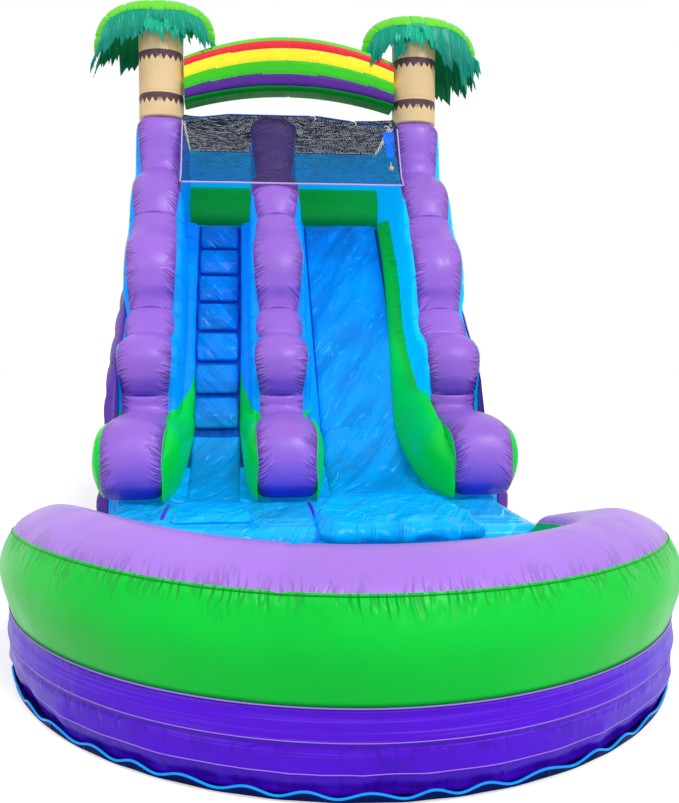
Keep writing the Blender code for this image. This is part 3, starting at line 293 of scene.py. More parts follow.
class Graph:
    """A short way to write shader nodes in one tree."""

    def __init__(self, tree: bpy.types.NodeTree) -> None:
        """Keeps the tree that the nodes go in."""
        self.tree = tree

    def node(self, kind: str, **settings: object) -> bpy.types.Node:
        """A new node with its settings.

        Args:
            kind: the type, without ShaderNode in front.
            settings: the node's own settings.

        Returns:
            The node.
        """
        made = self.tree.nodes.new("ShaderNode" + kind)
        for key, value in settings.items():
            setattr(made, key, value)
        return made

    def put(self, target: bpy.types.NodeSocket, value: object) -> None:
        """Links a value to a target, or sets the target to a plain one.

        Args:
            target: the input.
            value: a wire or a plain value.
        """
        if isinstance(value, Wire):
            self.tree.links.new(value.socket, target)
        else:
            target.default_value = value

    def make(self, kind: str, given: dict[int | str, object], output: int | str = 0, **settings: object) -> Wire:
        """The output of a new node.

        Args:
            kind: the node's kind.
            given: the value of each input.
            output: which output is meant.
            **settings: the node's own settings.

        Returns:
            The output.
        """
        made = self.node(kind, **settings)
        for name, value in given.items():
            self.put(made.inputs[name], value)
        return Wire(self, made.outputs[output])

    def math(self, operation: str, first: Value, second: Value = 0.0, clamp: bool = False) -> Wire:
        """The result of an operation on one or two numbers."""
        return self.make("Math", {0: first, 1: second}, operation=operation, use_clamp=clamp)

    def fade(self, value: Value, low: Value, high: Value, start: float = 0.0, end: float = 1.0) -> Wire:
        """A soft step of a value from low to high."""
        given = {"Value": value, "From Min": low, "From Max": high, "To Min": start, "To Max": end}
        return self.make("MapRange", given, "Result", interpolation_type="SMOOTHSTEP")

    def mix(self, factor: Value, first: object, second: object, blend: str = "MIX") -> Wire:
        """A blend of two colours."""
        return self.make("Mix", {0: factor, 6: first, 7: second}, 2, data_type="RGBA", blend_type=blend)

    def tint(self, colour: object, shade: Value) -> Wire:
        """A colour made darker or lighter by a factor."""
        return self.mix(1.0, colour, shade, "MULTIPLY")

    def vector(self, x: Value, y: Value, z: Value = 0.0) -> Wire:
        """Three numbers as a vector."""
        return self.make("CombineXYZ", {0: x, 1: y, 2: z})

    def split(self, vector: Wire) -> tuple[Wire, ...]:
        """The three numbers of a vector.

        Args:
            vector: the vector's wire.

        Returns:
            The three wires.
        """
        made = self.node("SeparateXYZ")
        self.put(made.inputs[0], vector)
        return tuple(Wire(self, output) for output in made.outputs)

    def noise(self, vector: Wire, scale: float, detail: float = 2.0, distortion: float = 0.0) -> Wire:
        """Noise from 0 to 1 at a vector."""
        return self.make("TexNoise", {"Vector": vector, "Scale": scale, "Detail": detail, "Distortion": distortion})

    def relief(self, height: Wire, distance: float, strength: float = 1.0, before: Wire | None = None) -> Wire:
        """The normal of a relief, laid on one before it."""
        given = {"Height": height, "Distance": distance, "Strength": strength}
        return self.make("Bump", given | ({"Normal": before} if before else {}))

    def seam(self) -> tuple[Wire, ...]:
        """The seam facts: length along the seam, distance from it, and strength."""
        return self.split(self.make("Attribute", {}, "Vector", attribute_name=SEAM_FACTS))

    def place(self) -> Wire:
        """The piece's own object coordinates."""
        return self.make("TexCoord", {}, "Object")


def new_group(name: str, inputs: dict[str, float],
              outputs: Sequence[str]) -> tuple[Graph, dict[str, Wire], dict[str, bpy.types.NodeSocket]]:
    """An empty shader group with number sockets.

    Args:
        name: the group's name.
        inputs: the name and usual value of each input.
        outputs: the name of each output.

    Returns:
        The group's graph, its inputs and its output sockets by name.
    """
    tree = bpy.data.node_groups.new(name, "ShaderNodeTree")
    for title, value in inputs.items():
        tree.interface.new_socket(name=title, in_out="INPUT", socket_type="NodeSocketFloat").default_value = value
    for title in outputs:
        tree.interface.new_socket(name=title, in_out="OUTPUT", socket_type="NodeSocketFloat")
    graph = Graph(tree)
    start, end = tree.nodes.new("NodeGroupInput"), tree.nodes.new("NodeGroupOutput")
    given = {socket.name: Wire(graph, socket) for socket in start.outputs if socket.name}
    return graph, given, {socket.name: socket for socket in end.inputs if socket.name}


def seam_pucker_group() -> bpy.types.NodeTree:
    """Folds that fan in from a sewn seam and fade out on the panel, with painted shade that darkens their creases.

    Returns:
        The group.
    """
    graph, given, out = new_group("seam_pucker", {"Pitch": 24.0, "Reach": 0.10}, ("Height", "Shade"))
    length, away, strength = graph.seam()
    wander = graph.noise(graph.vector(length * 3.0, away * 6.0), 1.0)
    across = (length + wander * 0.05) * given["Pitch"]
    ridge = abs(graph.noise(graph.vector(across, away * 5.0, strength), 1.0, 1.0) - 0.5)
    uneven = graph.noise(graph.vector(length * 9.0, 0.0, 4.0), 1.0, 1.0)
    reach = given["Reach"] * graph.fade(uneven, 0.3, 0.7, 0.45, 1.5)
    near = graph.fade(away, 0.0, reach, 1.0, 0.0) * strength
    graph.put(out["Height"], graph.fade(ridge, 0.0, 0.13) * near)
    # painted shade: darker along the pucker creases
    dark = (1.0 - graph.fade(ridge, 0.0, 0.07)) * near
    graph.put(out["Shade"], 1.0 - dark * 0.45)
    return graph.tree


def vinyl_wear_group() -> bpy.types.NodeTree:
    """Slow waves, short creases, coated-cloth grain and dull patches of used vinyl.

    Returns:
        The group.
    """
    graph, given, out = new_group("vinyl_wear", {"Waves": 1.0, "Creases": 0.4}, ("Height", "Shade", "Dull"))
    place = graph.place()
    waves = graph.noise(place, 2.2, 2.0, 0.4) * given["Waves"]
    bent = abs(graph.noise(place, 7.0, 2.0, 1.2) - 0.5)
    patchy = graph.fade(graph.noise(place, 1.3), 0.45, 0.7)
    crease = (1.0 - graph.fade(bent, 0.0, 0.03)) * patchy * given["Creases"]
    grain = graph.noise(place, 420.0, 1.0) * 0.02
    graph.put(out["Height"], waves + crease * 0.25 + grain)
    graph.put(out["Shade"], graph.fade(graph.noise(place, 1.7, 3.0), 0.25, 0.75, 0.93, 1.05))
    graph.put(out["Dull"], graph.fade(graph.noise(place, 5.0, 4.0), 0.3, 0.8, 0.0, 0.14))
    return graph.tree


def painted_underside_shade_group() -> bpy.types.NodeTree:
    """A mask of the faces that look down, where a pillow turns away from the light, for painted shade there.

    Returns:
        The group.
    """
    graph, _, out = new_group("painted_underside_shade", {}, ("Down",))
    up = graph.split(graph.make("NewGeometry", {}, "Normal"))[2]
    graph.put(out["Down"], graph.fade(up, -0.85, 0.08, 1.0, 0.0))
    return graph.tree


def film_crease_group() -> bpy.types.NodeTree:
    """Broad slanting waves and thin creases of a loose slick sheet, with folds where it is bunched, and painted glints,
    painted highlights and painted shade for its colour.

    Returns:
        The group.
    """
    graph, given, out = new_group("film_crease", {"Slant": 0.7, "Bunching": 0.3}, ("Height", "Shade", "Glint"))
    length, away, bunch = graph.seam()
    place = graph.place()
    turned = length * given["Slant"] + away
    straight = length - away * given["Slant"]
    broad = graph.noise(graph.vector(turned, straight * 6.0), 1.0, 1.0, 0.5)
    fine = graph.noise(graph.vector(turned * 1.5, straight * 13.0, 5.0), 1.0, 1.0, 0.5)
    off_line = abs(fine - 0.5)
    patchy = graph.fade(graph.noise(place, 2.6, 1.0), 0.36, 0.56)
    crease = (1.0 - graph.fade(off_line, 0.0, 0.040)) * patchy
    folded = graph.noise(place, 3.6, 1.5, 1.1)
    fold = graph.fade(folded, 0.25, 0.75, 0.0, 1.6)
    amount = graph.math("ADD", bunch * 0.5, given["Bunching"], clamp=True)
    graph.put(out["Height"], broad * 1.5 + crease * 0.24 + fold * amount)
    # painted glints: pale spots on the crease lines and, where bunched, on wide patches
    sharp = graph.fade(off_line, 0.0, 0.016, 1.0, 0.0)
    spark = graph.fade(graph.noise(place, 9.0, 2.0, 0.6), 0.50, 0.68)
    wide = graph.fade(graph.noise(place, 15.0, 2.0, 1.4), 0.60, 0.70)
    lit = graph.math("ADD", sharp * 0.55, wide * amount, clamp=True)
    graph.put(out["Glint"], lit * spark * 0.62)
    # painted highlight on the creases and the bunched end; painted shade in the fold hollows and the wave hollows
    bright = crease * 0.40 + 1.0 + bunch * 0.60
    low = graph.fade(folded, 0.40, 0.52, 1.0, 0.0) * (amount * 0.16)
    deep = graph.fade(broad, 0.35, 0.60, 0.24, 0.0)
    graph.put(out["Shade"], bright - (low + deep))
    return graph.tree


GROUP_MAKERS = {
    "seam_pucker": seam_pucker_group, "vinyl_wear": vinyl_wear_group, "film_crease": film_crease_group,
    "painted_underside_shade": painted_underside_shade_group,
}
GROUPS: dict[str, bpy.types.NodeTree] = {}


def group_node(graph: Graph, name: str, **values: float) -> dict[str, Wire]:
    """The outputs of a shared shader group, placed in a material with its own values.

    Args:
        graph: the material's nodes.
        name: the group's name.
        values: its inputs, by name.

    Returns:
        Its outputs, by name.
    """
    if name not in GROUPS:
        GROUPS[name] = GROUP_MAKERS[name]()
    made = graph.node("Group", node_tree=GROUPS[name])
    for key, value in values.items():
        made.inputs[key.title()].default_value = value
    return {output.name: Wire(graph, output) for output in made.outputs}


@dataclass(frozen=True)
class Finish:
    """A procedural finish, made on first use."""

    name: str
    colour: Colour
    roughness: float = 0.30

    def material(self) -> bpy.types.Material:
        """The material.

        Returns:
            The material, with its nodes.
        """
        found = bpy.data.materials.get(self.name)
        if found:
            return found
        made = bpy.data.materials.new(self.name)
        made.use_nodes = True
        self.dress(Graph(made.node_tree), made.node_tree.nodes["Principled BSDF"])
        return made

    def dress(self, graph: Graph, shader: bpy.types.Node) -> None:
        """Fills in the material's graph.

        Args:
            graph: the material's graph.
            shader: its shader.
        """
        raise NotImplementedError


@dataclass(frozen=True)
class Vinyl(Finish):
    """Coated inflatable vinyl in one colour."""

    pucker: float = 1.0
    pitch: float = 24.0
    reach: float = 0.10
    waves: float = 1.0
    creases: float = 0.4
    coat: float = 0.0
    painted_glow: float = 0.0
    # colour of the painted shade on faces that look down
    under: Colour | None = None
    specular: float = 0.16

    def base(self, graph: Graph) -> object:
        """The colour before shading, which patterned vinyls override."""
        return linear(*self.colour)

    def gloss(self, shader: bpy.types.Node) -> None:
        """Sets the shader's constant values.

        Args:
            shader: its Principled BSDF.
        """
        shader.inputs["Roughness"].default_value = self.roughness
        shader.inputs["Coat Weight"].default_value = self.coat
        shader.inputs["Coat Roughness"].default_value = COAT_ROUGHNESS
        shader.inputs["Specular IOR Level"].default_value = self.specular

    def lay(self, graph: Graph, shader: bpy.types.Node, colour: Wire, dull: Wire,
            reliefs: Sequence[tuple[Wire, float, float]]) -> None:
        """Links the colour, the dull patches and the reliefs to the shader, and gives the colour off again as painted
        glow.

        Args:
            graph: the material's graph.
            shader: its shader.
            colour: the colour.
            dull: what the dull patches add to the roughness.
            reliefs: the height, distance and strength of each relief, the lowest first.
        """
        graph.put(shader.inputs["Base Color"], colour)
        # painted glow: the colour is given off as emission, painted light that brightens the vinyl as if lit through
        if self.painted_glow > 0.0:
            graph.put(shader.inputs["Emission Color"], colour)
            shader.inputs["Emission Strength"].default_value = self.painted_glow
        graph.put(shader.inputs["Roughness"], dull + self.roughness)
        normal = None
        for height, distance, strength in reliefs:
            normal = graph.relief(height, distance, strength, normal)
        graph.put(shader.inputs["Normal"], normal)

    def dress(self, graph: Graph, shader: bpy.types.Node) -> None:
        """Puckered seams over slow waves, with painted shade in the pucker creases and, where an under colour is given,
        painted shade where the vinyl looks down.

        Args:
            graph: the material's nodes.
            shader: its Principled BSDF.
        """
        self.gloss(shader)
        pucker = group_node(graph, "seam_pucker", pitch=self.pitch, reach=self.reach)
        wear = group_node(graph, "vinyl_wear", waves=self.waves, creases=self.creases)
        shade = pucker["Shade"] * wear["Shade"]
        colour = graph.tint(self.base(graph), shade)
        # painted shade: blends towards the under colour on faces that look down
        if self.under:
            down = group_node(graph, "painted_underside_shade")["Down"]
            colour = graph.mix(down, colour, graph.tint(linear(*self.under), shade))
        reliefs = (pucker["Height"], 0.012 * self.pucker, 0.9), (wear["Height"], WAVE_HEIGHT, 0.6)
        self.lay(graph, shader, colour, wear["Dull"], reliefs)


@dataclass(frozen=True)
class Film(Vinyl):
    """Thin slick sheet vinyl that lies loose and creases."""

    waves: float = 0.6
    creases: float = 0.12
    slant: float = 0.7
    bunching: float = 0.3
    # colour of the painted glints
    painted_glint_colour: Colour = (132, 216, 254)

    def dress(self, graph: Graph, shader: bpy.types.Node) -> None:
        """Creases and folds with painted glints, painted highlights and painted shade.

        Args:
            graph: the material's nodes.
            shader: its Principled BSDF.
        """
        self.gloss(shader)
        film = group_node(graph, "film_crease", slant=self.slant, bunching=self.bunching)
        wear = group_node(graph, "vinyl_wear", waves=self.waves, creases=self.creases)
        colour = graph.tint(linear(*self.colour), film["Shade"] * wear["Shade"])
        # painted glints: the colour is blended towards a pale glint colour
        colour = graph.mix(film["Glint"], colour, linear(*self.painted_glint_colour))
        reliefs = (film["Height"], 0.03, 0.9), (wear["Height"], WAVE_HEIGHT, 0.5)
        self.lay(graph, shader, colour, wear["Dull"], reliefs)


@dataclass(frozen=True)
class TrunkVinyl(Vinyl):
    """Tan vinyl with two printed rings whose lower edges are toothed."""

    ring_heights: tuple[float, float] = (3.745, 4.125)
    ring_depth: float = 0.045
    tooth_half: float = 0.030
    tooth_depth: float = 0.05
    ring_colour: Colour = (92, 68, 78)
    mottle_colour: Colour = (236, 208, 160)

    def base(self, graph: Graph) -> object:
        """Tan with the printed rings, which follow the height and the way round the trunk.

        Args:
            graph: the material's nodes.

        Returns:
            The base colour.
        """
        around, height, _ = graph.seam()
        jitter = graph.noise(graph.vector(around * 21.0, 0.0), 1.0, 1.0)
        tooth = graph.math("PINGPONG", around + jitter * 0.02, self.tooth_half)
        drop = tooth / self.tooth_half * ((jitter + 0.5) * self.tooth_depth)
        mask: Value = 0.0
        for top in self.ring_heights:
            under_top = graph.math("LESS_THAN", height, top)
            over_low = graph.math("GREATER_THAN", height, (top - self.ring_depth) - drop)
            mask = graph.math("MAXIMUM", mask, under_top * over_low)
        mottled = graph.mix(graph.noise(graph.place(), 6.0, 3.0), linear(*self.colour), linear(*self.mottle_colour))
        return graph.mix(mask, mottled, linear(*self.ring_colour))


@dataclass(frozen=True)
class BandVinyl(Vinyl):
    """Vinyl of a low tube, with long thin stretch lines along its upper part."""

    streak_colour: Colour = (136, 84, 244)
    lines_above: float = 0.15
    lines_fade: float = 0.03

    def base(self, graph: Graph) -> object:
        """The colour with level stretch lines that follow the tube.

        Args:
            graph: the material's nodes.

        Returns:
            The base colour.
        """
        length = graph.seam()[0]
        height = graph.split(graph.place())[2]
        streak = graph.noise(graph.vector(length * 1.3, height * 95.0), 1.0, 2.0)
        above = graph.fade(height, self.lines_above - self.lines_fade, self.lines_above + self.lines_fade)
        mask = graph.fade(streak, 0.50, 0.72, 0.0, 0.42) * above
        return graph.mix(mask, linear(*self.colour), linear(*self.streak_colour))


@dataclass(frozen=True)
class LeafVinyl(Vinyl):
    """Thin glossy leaf vinyl, streaked from its stem to its tips."""

    tip_colour: Colour = (0, 120, 90)

    def base(self, graph: Graph) -> object:
        """Streaks that run down the leaf, darker towards the tips.

        Args:
            graph: the material's nodes.

        Returns:
            The base colour.
        """
        length, away, _ = graph.seam()
        streak = graph.noise(graph.vector(length * 30.0, away * 4.0), 1.0, 3.0)
        share = graph.fade(away, 0.02, 0.32) * graph.fade(streak, 0.25, 0.75, 0.4, 1.0)
        return graph.mix(share, linear(*self.colour), linear(*self.tip_colour))


@dataclass(frozen=True)
class Netting(Vinyl):
    """Knitted safety mesh: dark threads round open cells."""

    cell: float = 0.014
    thread: float = 0.30
    unevenness: float = 0.2
    lean: float = 0.35

    def dress(self, graph: Graph, shader: bpy.types.Node) -> None:
        """Two sets of leaning threads, see-through between them.

        Args:
            graph: the material's nodes.
            shader: its Principled BSDF.
        """
        self.gloss(shader)
        across, down, _ = graph.seam()
        sway = (graph.noise(graph.place(), 3.0) - 0.5) * 0.05
        rippled = graph.noise(graph.vector(across * 7.0, down * 34.0), 1.0, 2.0, 1.4)
        thick, thin = self.thread * (1 + self.unevenness), self.thread * (1 - self.unevenness / 2)
        half = graph.fade(rippled, 0.30, 0.62, thick, thin) * 0.5
        lines = []
        for first, second, lean in ((across, down, self.lean), (down, across, -self.lean)):
            phase = graph.math("FRACT", (first + second * lean + sway) / self.cell)
            lines.append(graph.math("LESS_THAN", abs(phase - 0.5), half))
        cover = graph.math("MAXIMUM", *lines)
        shade = graph.fade(graph.noise(graph.place(), 30.0, 3.0), 0.3, 0.7, 0.7, 1.4)
        graph.put(shader.inputs["Base Color"], graph.tint(linear(*self.colour), shade))
        graph.put(shader.inputs["Alpha"], cover)
        graph.put(shader.inputs["Normal"], graph.relief(cover, 0.002))


@dataclass(frozen=True)
class HardFinish(Finish):
    """A moulded plastic, webbing or metal finish with its own grain."""

    metallic: float = 0.0
    grain: float = 90.0
    grain_depth: float = 0.0006

    def dress(self, graph: Graph, shader: bpy.types.Node) -> None:
        """Fine grain with scuffed patches.

        Args:
            graph: the material's nodes.
            shader: its Principled BSDF.
        """
        shader.inputs["Metallic"].default_value = self.metallic
        place = graph.place()
        scuff = graph.noise(place, 14.0, 4.0, 0.8)
        shade = graph.fade(scuff, 0.3, 0.8, 1.05, 0.78)
        dull = graph.fade(scuff, 0.3, 0.75, self.roughness * 0.8, self.roughness * 1.3)
        graph.put(shader.inputs["Base Color"], graph.tint(linear(*self.colour), shade))
        graph.put(shader.inputs["Roughness"], dull)
        graph.put(shader.inputs["Normal"], graph.relief(graph.noise(place, self.grain, 3.0), self.grain_depth))


class Look(Enum):
    """The finishes of the slide."""

    # under is the colour of painted shade where a finish looks down; painted_glow is emission, painted light
    PURPLE = Vinyl("purple_vinyl_skin", (156, 104, 220), 0.34, pucker=1.4, under=(64, 40, 196), specular=0.42)
    INDIGO = Vinyl("purple_vinyl_side", (100, 58, 172), 0.30)
    POOL_PURPLE = Vinyl(
        "pool_purple_vinyl", (172, 122, 232), 0.30, specular=0.40, pucker=0.6, pitch=34.0, waves=0.7, creases=0.3,
    )
    VIOLET = BandVinyl(
        "pool_violet_vinyl", (88, 14, 224), 0.30, pucker=0.4, pitch=16.0, reach=0.06, waves=0.9, creases=0.1,
        under=(56, 10, 186),
    )
    BLUE = Vinyl("blue_vinyl_skin", (0, 146, 244), 0.28, pucker=0.35, painted_glow=0.34)
    # dark blue: painted shade in the gaps between the step pads, and the front net's dark top band
    DARK_BLUE_AND_GAP_SHADE = Vinyl("blue_vinyl_step_gap", (0, 76, 176), 0.32, painted_glow=0.05)
    SKY = Film("bed_blue_vinyl", (16, 176, 246), 0.20, specular=0.10, coat=0.08, slant=0.3, bunching=0.06, painted_glow=0.16)
    # painted lit copy of BLUE: brighter, with more painted glow, as if light shone through the vinyl
    PAINTED_LIT_BLUE = Vinyl("painted_lit_blue_vinyl", (0, 188, 254), 0.26, pucker=0.35, painted_glow=0.48)
    RAIL_GREEN = Vinyl(
        "rail_green_vinyl", (16, 196, 66), 0.24, pucker=0.5, specular=0.10, painted_glow=0.26, under=(0, 104, 44),
    )
    GREEN = Vinyl("green_vinyl_skin", (0, 208, 66), 0.28, pucker=0.7, reach=0.05, painted_glow=0.22)
    POOL_GREEN = Vinyl("pool_green_vinyl", (0, 212, 60), 0.30, pitch=32.0, waves=0.5, creases=0.05)
    LIME = Vinyl("lime_vinyl", (100, 214, 44), 0.32, pitch=30.0, reach=0.04, painted_glow=0.10)
    RED = Vinyl("red_vinyl", (232, 50, 66), 0.34, pucker=0.3, reach=0.04, painted_glow=0.22)
    YELLOW = Vinyl("yellow_vinyl", (250, 232, 50), 0.34, pucker=0.3, reach=0.04, painted_glow=0.22)
    ARCH_GREEN = Vinyl("arch_green_vinyl", (60, 196, 36), 0.34, pucker=0.3, reach=0.04, painted_glow=0.16)
    ARCH_PURPLE = Vinyl("arch_purple_vinyl", (88, 44, 150), 0.34, pucker=0.3, reach=0.04)
    ARCH_UNDER = Vinyl("arch_underside_vinyl", (4, 140, 30), 0.36, pucker=0.3, painted_glow=0.25)
    TAN = TrunkVinyl("tan_vinyl_skin", (228, 197, 145), 0.42, pitch=20.0, reach=0.03, painted_glow=0.10)
    LEAF = LeafVinyl("leaf_vinyl", (4, 156, 126), 0.26, pucker=0.8, painted_glow=0.12, tip_colour=(0, 116, 104))
    PALE_LEAF = LeafVinyl("pale_leaf_vinyl", (20, 180, 144), 0.22, pucker=0.8, painted_glow=0.12, tip_colour=(0, 146, 116))
    DARK_LEAF = LeafVinyl("dark_leaf_vinyl", (24, 158, 92), 0.34, pucker=0.8, painted_glow=0.10, tip_colour=(0, 100, 70))
    LINER = Film(
        "slide_liner_film", (0, 150, 240), 0.17, specular=0.09, coat=0.05, slant=0.55, bunching=0.02, painted_glow=0.16,
    )
    STEP = Film("step_film", (0, 130, 216), 0.15, specular=0.10, coat=0.08, slant=-0.9, bunching=0.05, painted_glow=0.14)
    TIE = Film("tie_film", (10, 96, 222), 0.28, slant=0.3, bunching=0.5, painted_glow=0.12)
    # dark navy: the sheet's own blue made darker as painted shadow under its raised rim
    SHEET_AND_PAINTED_SHADOW = Film(
        "ground_sheet_film", (6, 22, 84), 0.42, specular=0.03, slant=0.2, bunching=0.1, painted_glint_colour=(40, 84, 168),
    )
    NET = Netting("safety_net_mesh", (24, 36, 56), 0.7, thread=0.36, unevenness=0.25)
    ROOF_NET = Netting("roof_net_mesh", (14, 20, 32), 0.7, thread=0.62, unevenness=1.1)
    LILAC = Vinyl("lilac_piping", (172, 130, 226), 0.35, waves=0.2)
    PALE_LILAC = Vinyl("pale_lilac_hem", (206, 184, 240), 0.45, waves=0.2)
    MINT = Vinyl("mint_piping", (120, 226, 176), 0.35, waves=0.2)
    WHITE = Vinyl("white_cord", (236, 238, 240), 0.5, waves=0.2)
    CREAM = Vinyl("cream_ball", (214, 204, 176), 0.45, waves=0.2)
    HOUSING = HardFinish("blower_shell_plastic", (226, 118, 30), 0.42)
    BLACK = HardFinish("black_moulded_plastic", (30, 31, 34), 0.48)
    WEBBING = HardFinish("black_webbing", (34, 35, 40), 0.75, grain=320.0, grain_depth=0.0012)
    STEEL = HardFinish("plated_steel", (176, 178, 184), 0.28, 1.0, grain=160.0, grain_depth=0.0003)

    def material(self) -> bpy.types.Material:
        """The finish's material."""
        return self.value.material()


def linked(name: str, data: bpy.types.ID) -> bpy.types.Object:
    """A new object in the scene that shows some data.

    Args:
        name: the object's name.
        data: its mesh, light or camera.

    Returns:
        The object.
    """
    made = bpy.data.objects.new(name, data)
    bpy.context.scene.collection.objects.link(made)
    return made


def add_piece(name: str, shape: bmesh.types.BMesh, looks: Sequence[Look], slot: str, nodes: Sequence[str] = (),
              body: str = ROOT, closed: bool = True, thickness: float = 0.0) -> bpy.types.Object:
    """Turns a shape into a piece of the slide.

    Args:
        name: the piece's name.
        shape: its bmesh, which is used up.
        looks: its finishes, in the order of the faces' numbers.
        slot: the record's material slot that it belongs to; not used.
        nodes: the solids that it stands for.
        body: the body that it moves with.
        closed: whether its faces can be turned to point out of it.
        thickness: the thickness given to an open sheet.

    Returns:
        The piece.
    """
    if closed:
        bmesh.ops.recalc_face_normals(shape, faces=shape.faces)
    data = bpy.data.meshes.new(name)
    shape.to_mesh(data)
    shape.free()
    data.shade_smooth()
    for look in looks:
        data.materials.append(look.material())
    piece = linked(name, data)
    if thickness > 0.0:
        wall = piece.modifiers.new("thickness", "SOLIDIFY")
        wall.thickness = thickness
        wall.offset = 0.0
    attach(piece, body)
    if nodes:
        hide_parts(*nodes)
    LOG.info("%s: %d faces", name, len(data.polygons))
    return piece


def piping(name: str, points: Sequence[Vector], radius: float, look: Look, slot: str,
           sides: int = 6) -> bpy.types.Object:
    """A thin round welt along a line of points.

    Args:
        name: the piece's name.
        points: the line.
        radius: half its thickness.
        look: its finish.
        slot: the record's material slot.
        sides: faces round it.

    Returns:
        The piece.
    """
    line = [Vector(p) for p in points]
    count = len(line) - 1

    def place(u: float, v: float) -> Spot:
        """A point round and along the cord.

        Args:
            u: the share of the way across or round it.
            v: the share of the way along or down it.

        Returns:
            The point and the seam facts.
        """
        i = round(v * count)
        ahead, behind = line[min(i + 1, count)], line[max(i - 1, 0)]
        run = (ahead - behind).normalized()
        side = run.cross(Vector((0.03, 0.02, 1.0)))
        side = side.normalized() if side.length > 1e-4 else Vector((1.0, 0.0, 0.0))
        up = side.cross(run).normalized()
        size = 0.0 if i in (0, count) else radius
        angle = math.tau * u
        return line[i] + side * size * math.cos(angle) + up * size * math.sin(angle), (v, 0.0, 0.0)

    return add_piece(name, skin(sides, count, place), [look], slot)


def puffed_box(low: Sequence[float], high: Sequence[float], rounding: float, swell: Sequence[float],
               seams: Sequence[tuple[int, float]] = (), pitch: float = 0.035, groove: float = 0.02,
               strength: float = 0.6) -> bmesh.types.BMesh:
    """A box-shaped chamber with round edges, swollen faces and grooves at its sewn seams.

    Args:
        low: its lowest corner.
        high: its highest corner.
        rounding: the radius of its edges.
        swell: how far the faces across each axis stand out in their middle.
        seams: (axis, place) of each seam plane.
        pitch: the size of its faces.
        groove: how deep the seams pull in.
        strength: how strongly the seams pucker.

    Returns:
        The shape.
    """
    low, high = Vector(low), Vector(high)
    size, middle = high - low, (high + low) / 2
    shape = bmesh.new()
    bmesh.ops.create_cube(shape, size=1.0)
    bmesh.ops.scale(shape, vec=size, verts=shape.verts)
    for axis in range(3):
        cuts = max(3, round(size[axis] / pitch))
        normal = Vector([1.0 if i == axis else 0.0 for i in range(3)])
        for cut in range(1, cuts):
            spot = normal * (size[axis] * (cut / cuts - 0.5))
            bmesh.ops.bisect_plane(
                shape, geom=shape.verts[:] + shape.edges[:] + shape.faces[:], plane_co=spot, plane_no=normal,
            )
    facts = shape.verts.layers.float_vector.new(SEAM_FACTS)
    for vert in shape.verts:
        point = vert.co.copy()
        core = Vector([min(max(c, rounding - s / 2), s / 2 - rounding) for c, s in zip(point, size)])
        away = point - core
        out = away.normalized() if away.length > 1e-6 else Vector((0.0, 0.0, 1.0))
        shares = [abs(2 * c / s) for c, s in zip(point, size)]
        puff = Vector([
            out[i] * swell[i] * (1 - shares[(i + 1) % 3] ** 4) * (1 - shares[(i + 2) % 3] ** 4) for i in range(3)
        ])
        nearest, run = 9.0, 0.0
        pull = 0.0
        for axis, spot in seams:
            gap = abs(point[axis] + middle[axis] - spot)
            pull = max(pull, bump(gap, 0.022))
            if gap < nearest:
                nearest, run = gap, point[(axis + 1) % 3] + point[(axis + 2) % 3] * 0.7
        vert.co = middle + core + out * (rounding - groove * pull) + puff * (1 - pull)
        vert[facts] = (run + 3.0, nearest, strength if seams else 0.0)
    return shape


def small_boxes(spots: Sequence[Vector], size: Sequence[float]) -> bmesh.types.BMesh:
    """Equal small boxes, such as stitches and teeth.

    Args:
        spots: their middles.
        size: the size of each.

    Returns:
        The shape.
    """
    shape = bmesh.new()
    for spot in spots:
        made = bmesh.ops.create_cube(shape, size=1.0)["verts"]
        bmesh.ops.scale(shape, vec=size, verts=made)
        bmesh.ops.translate(shape, vec=spot, verts=made)
    return shape


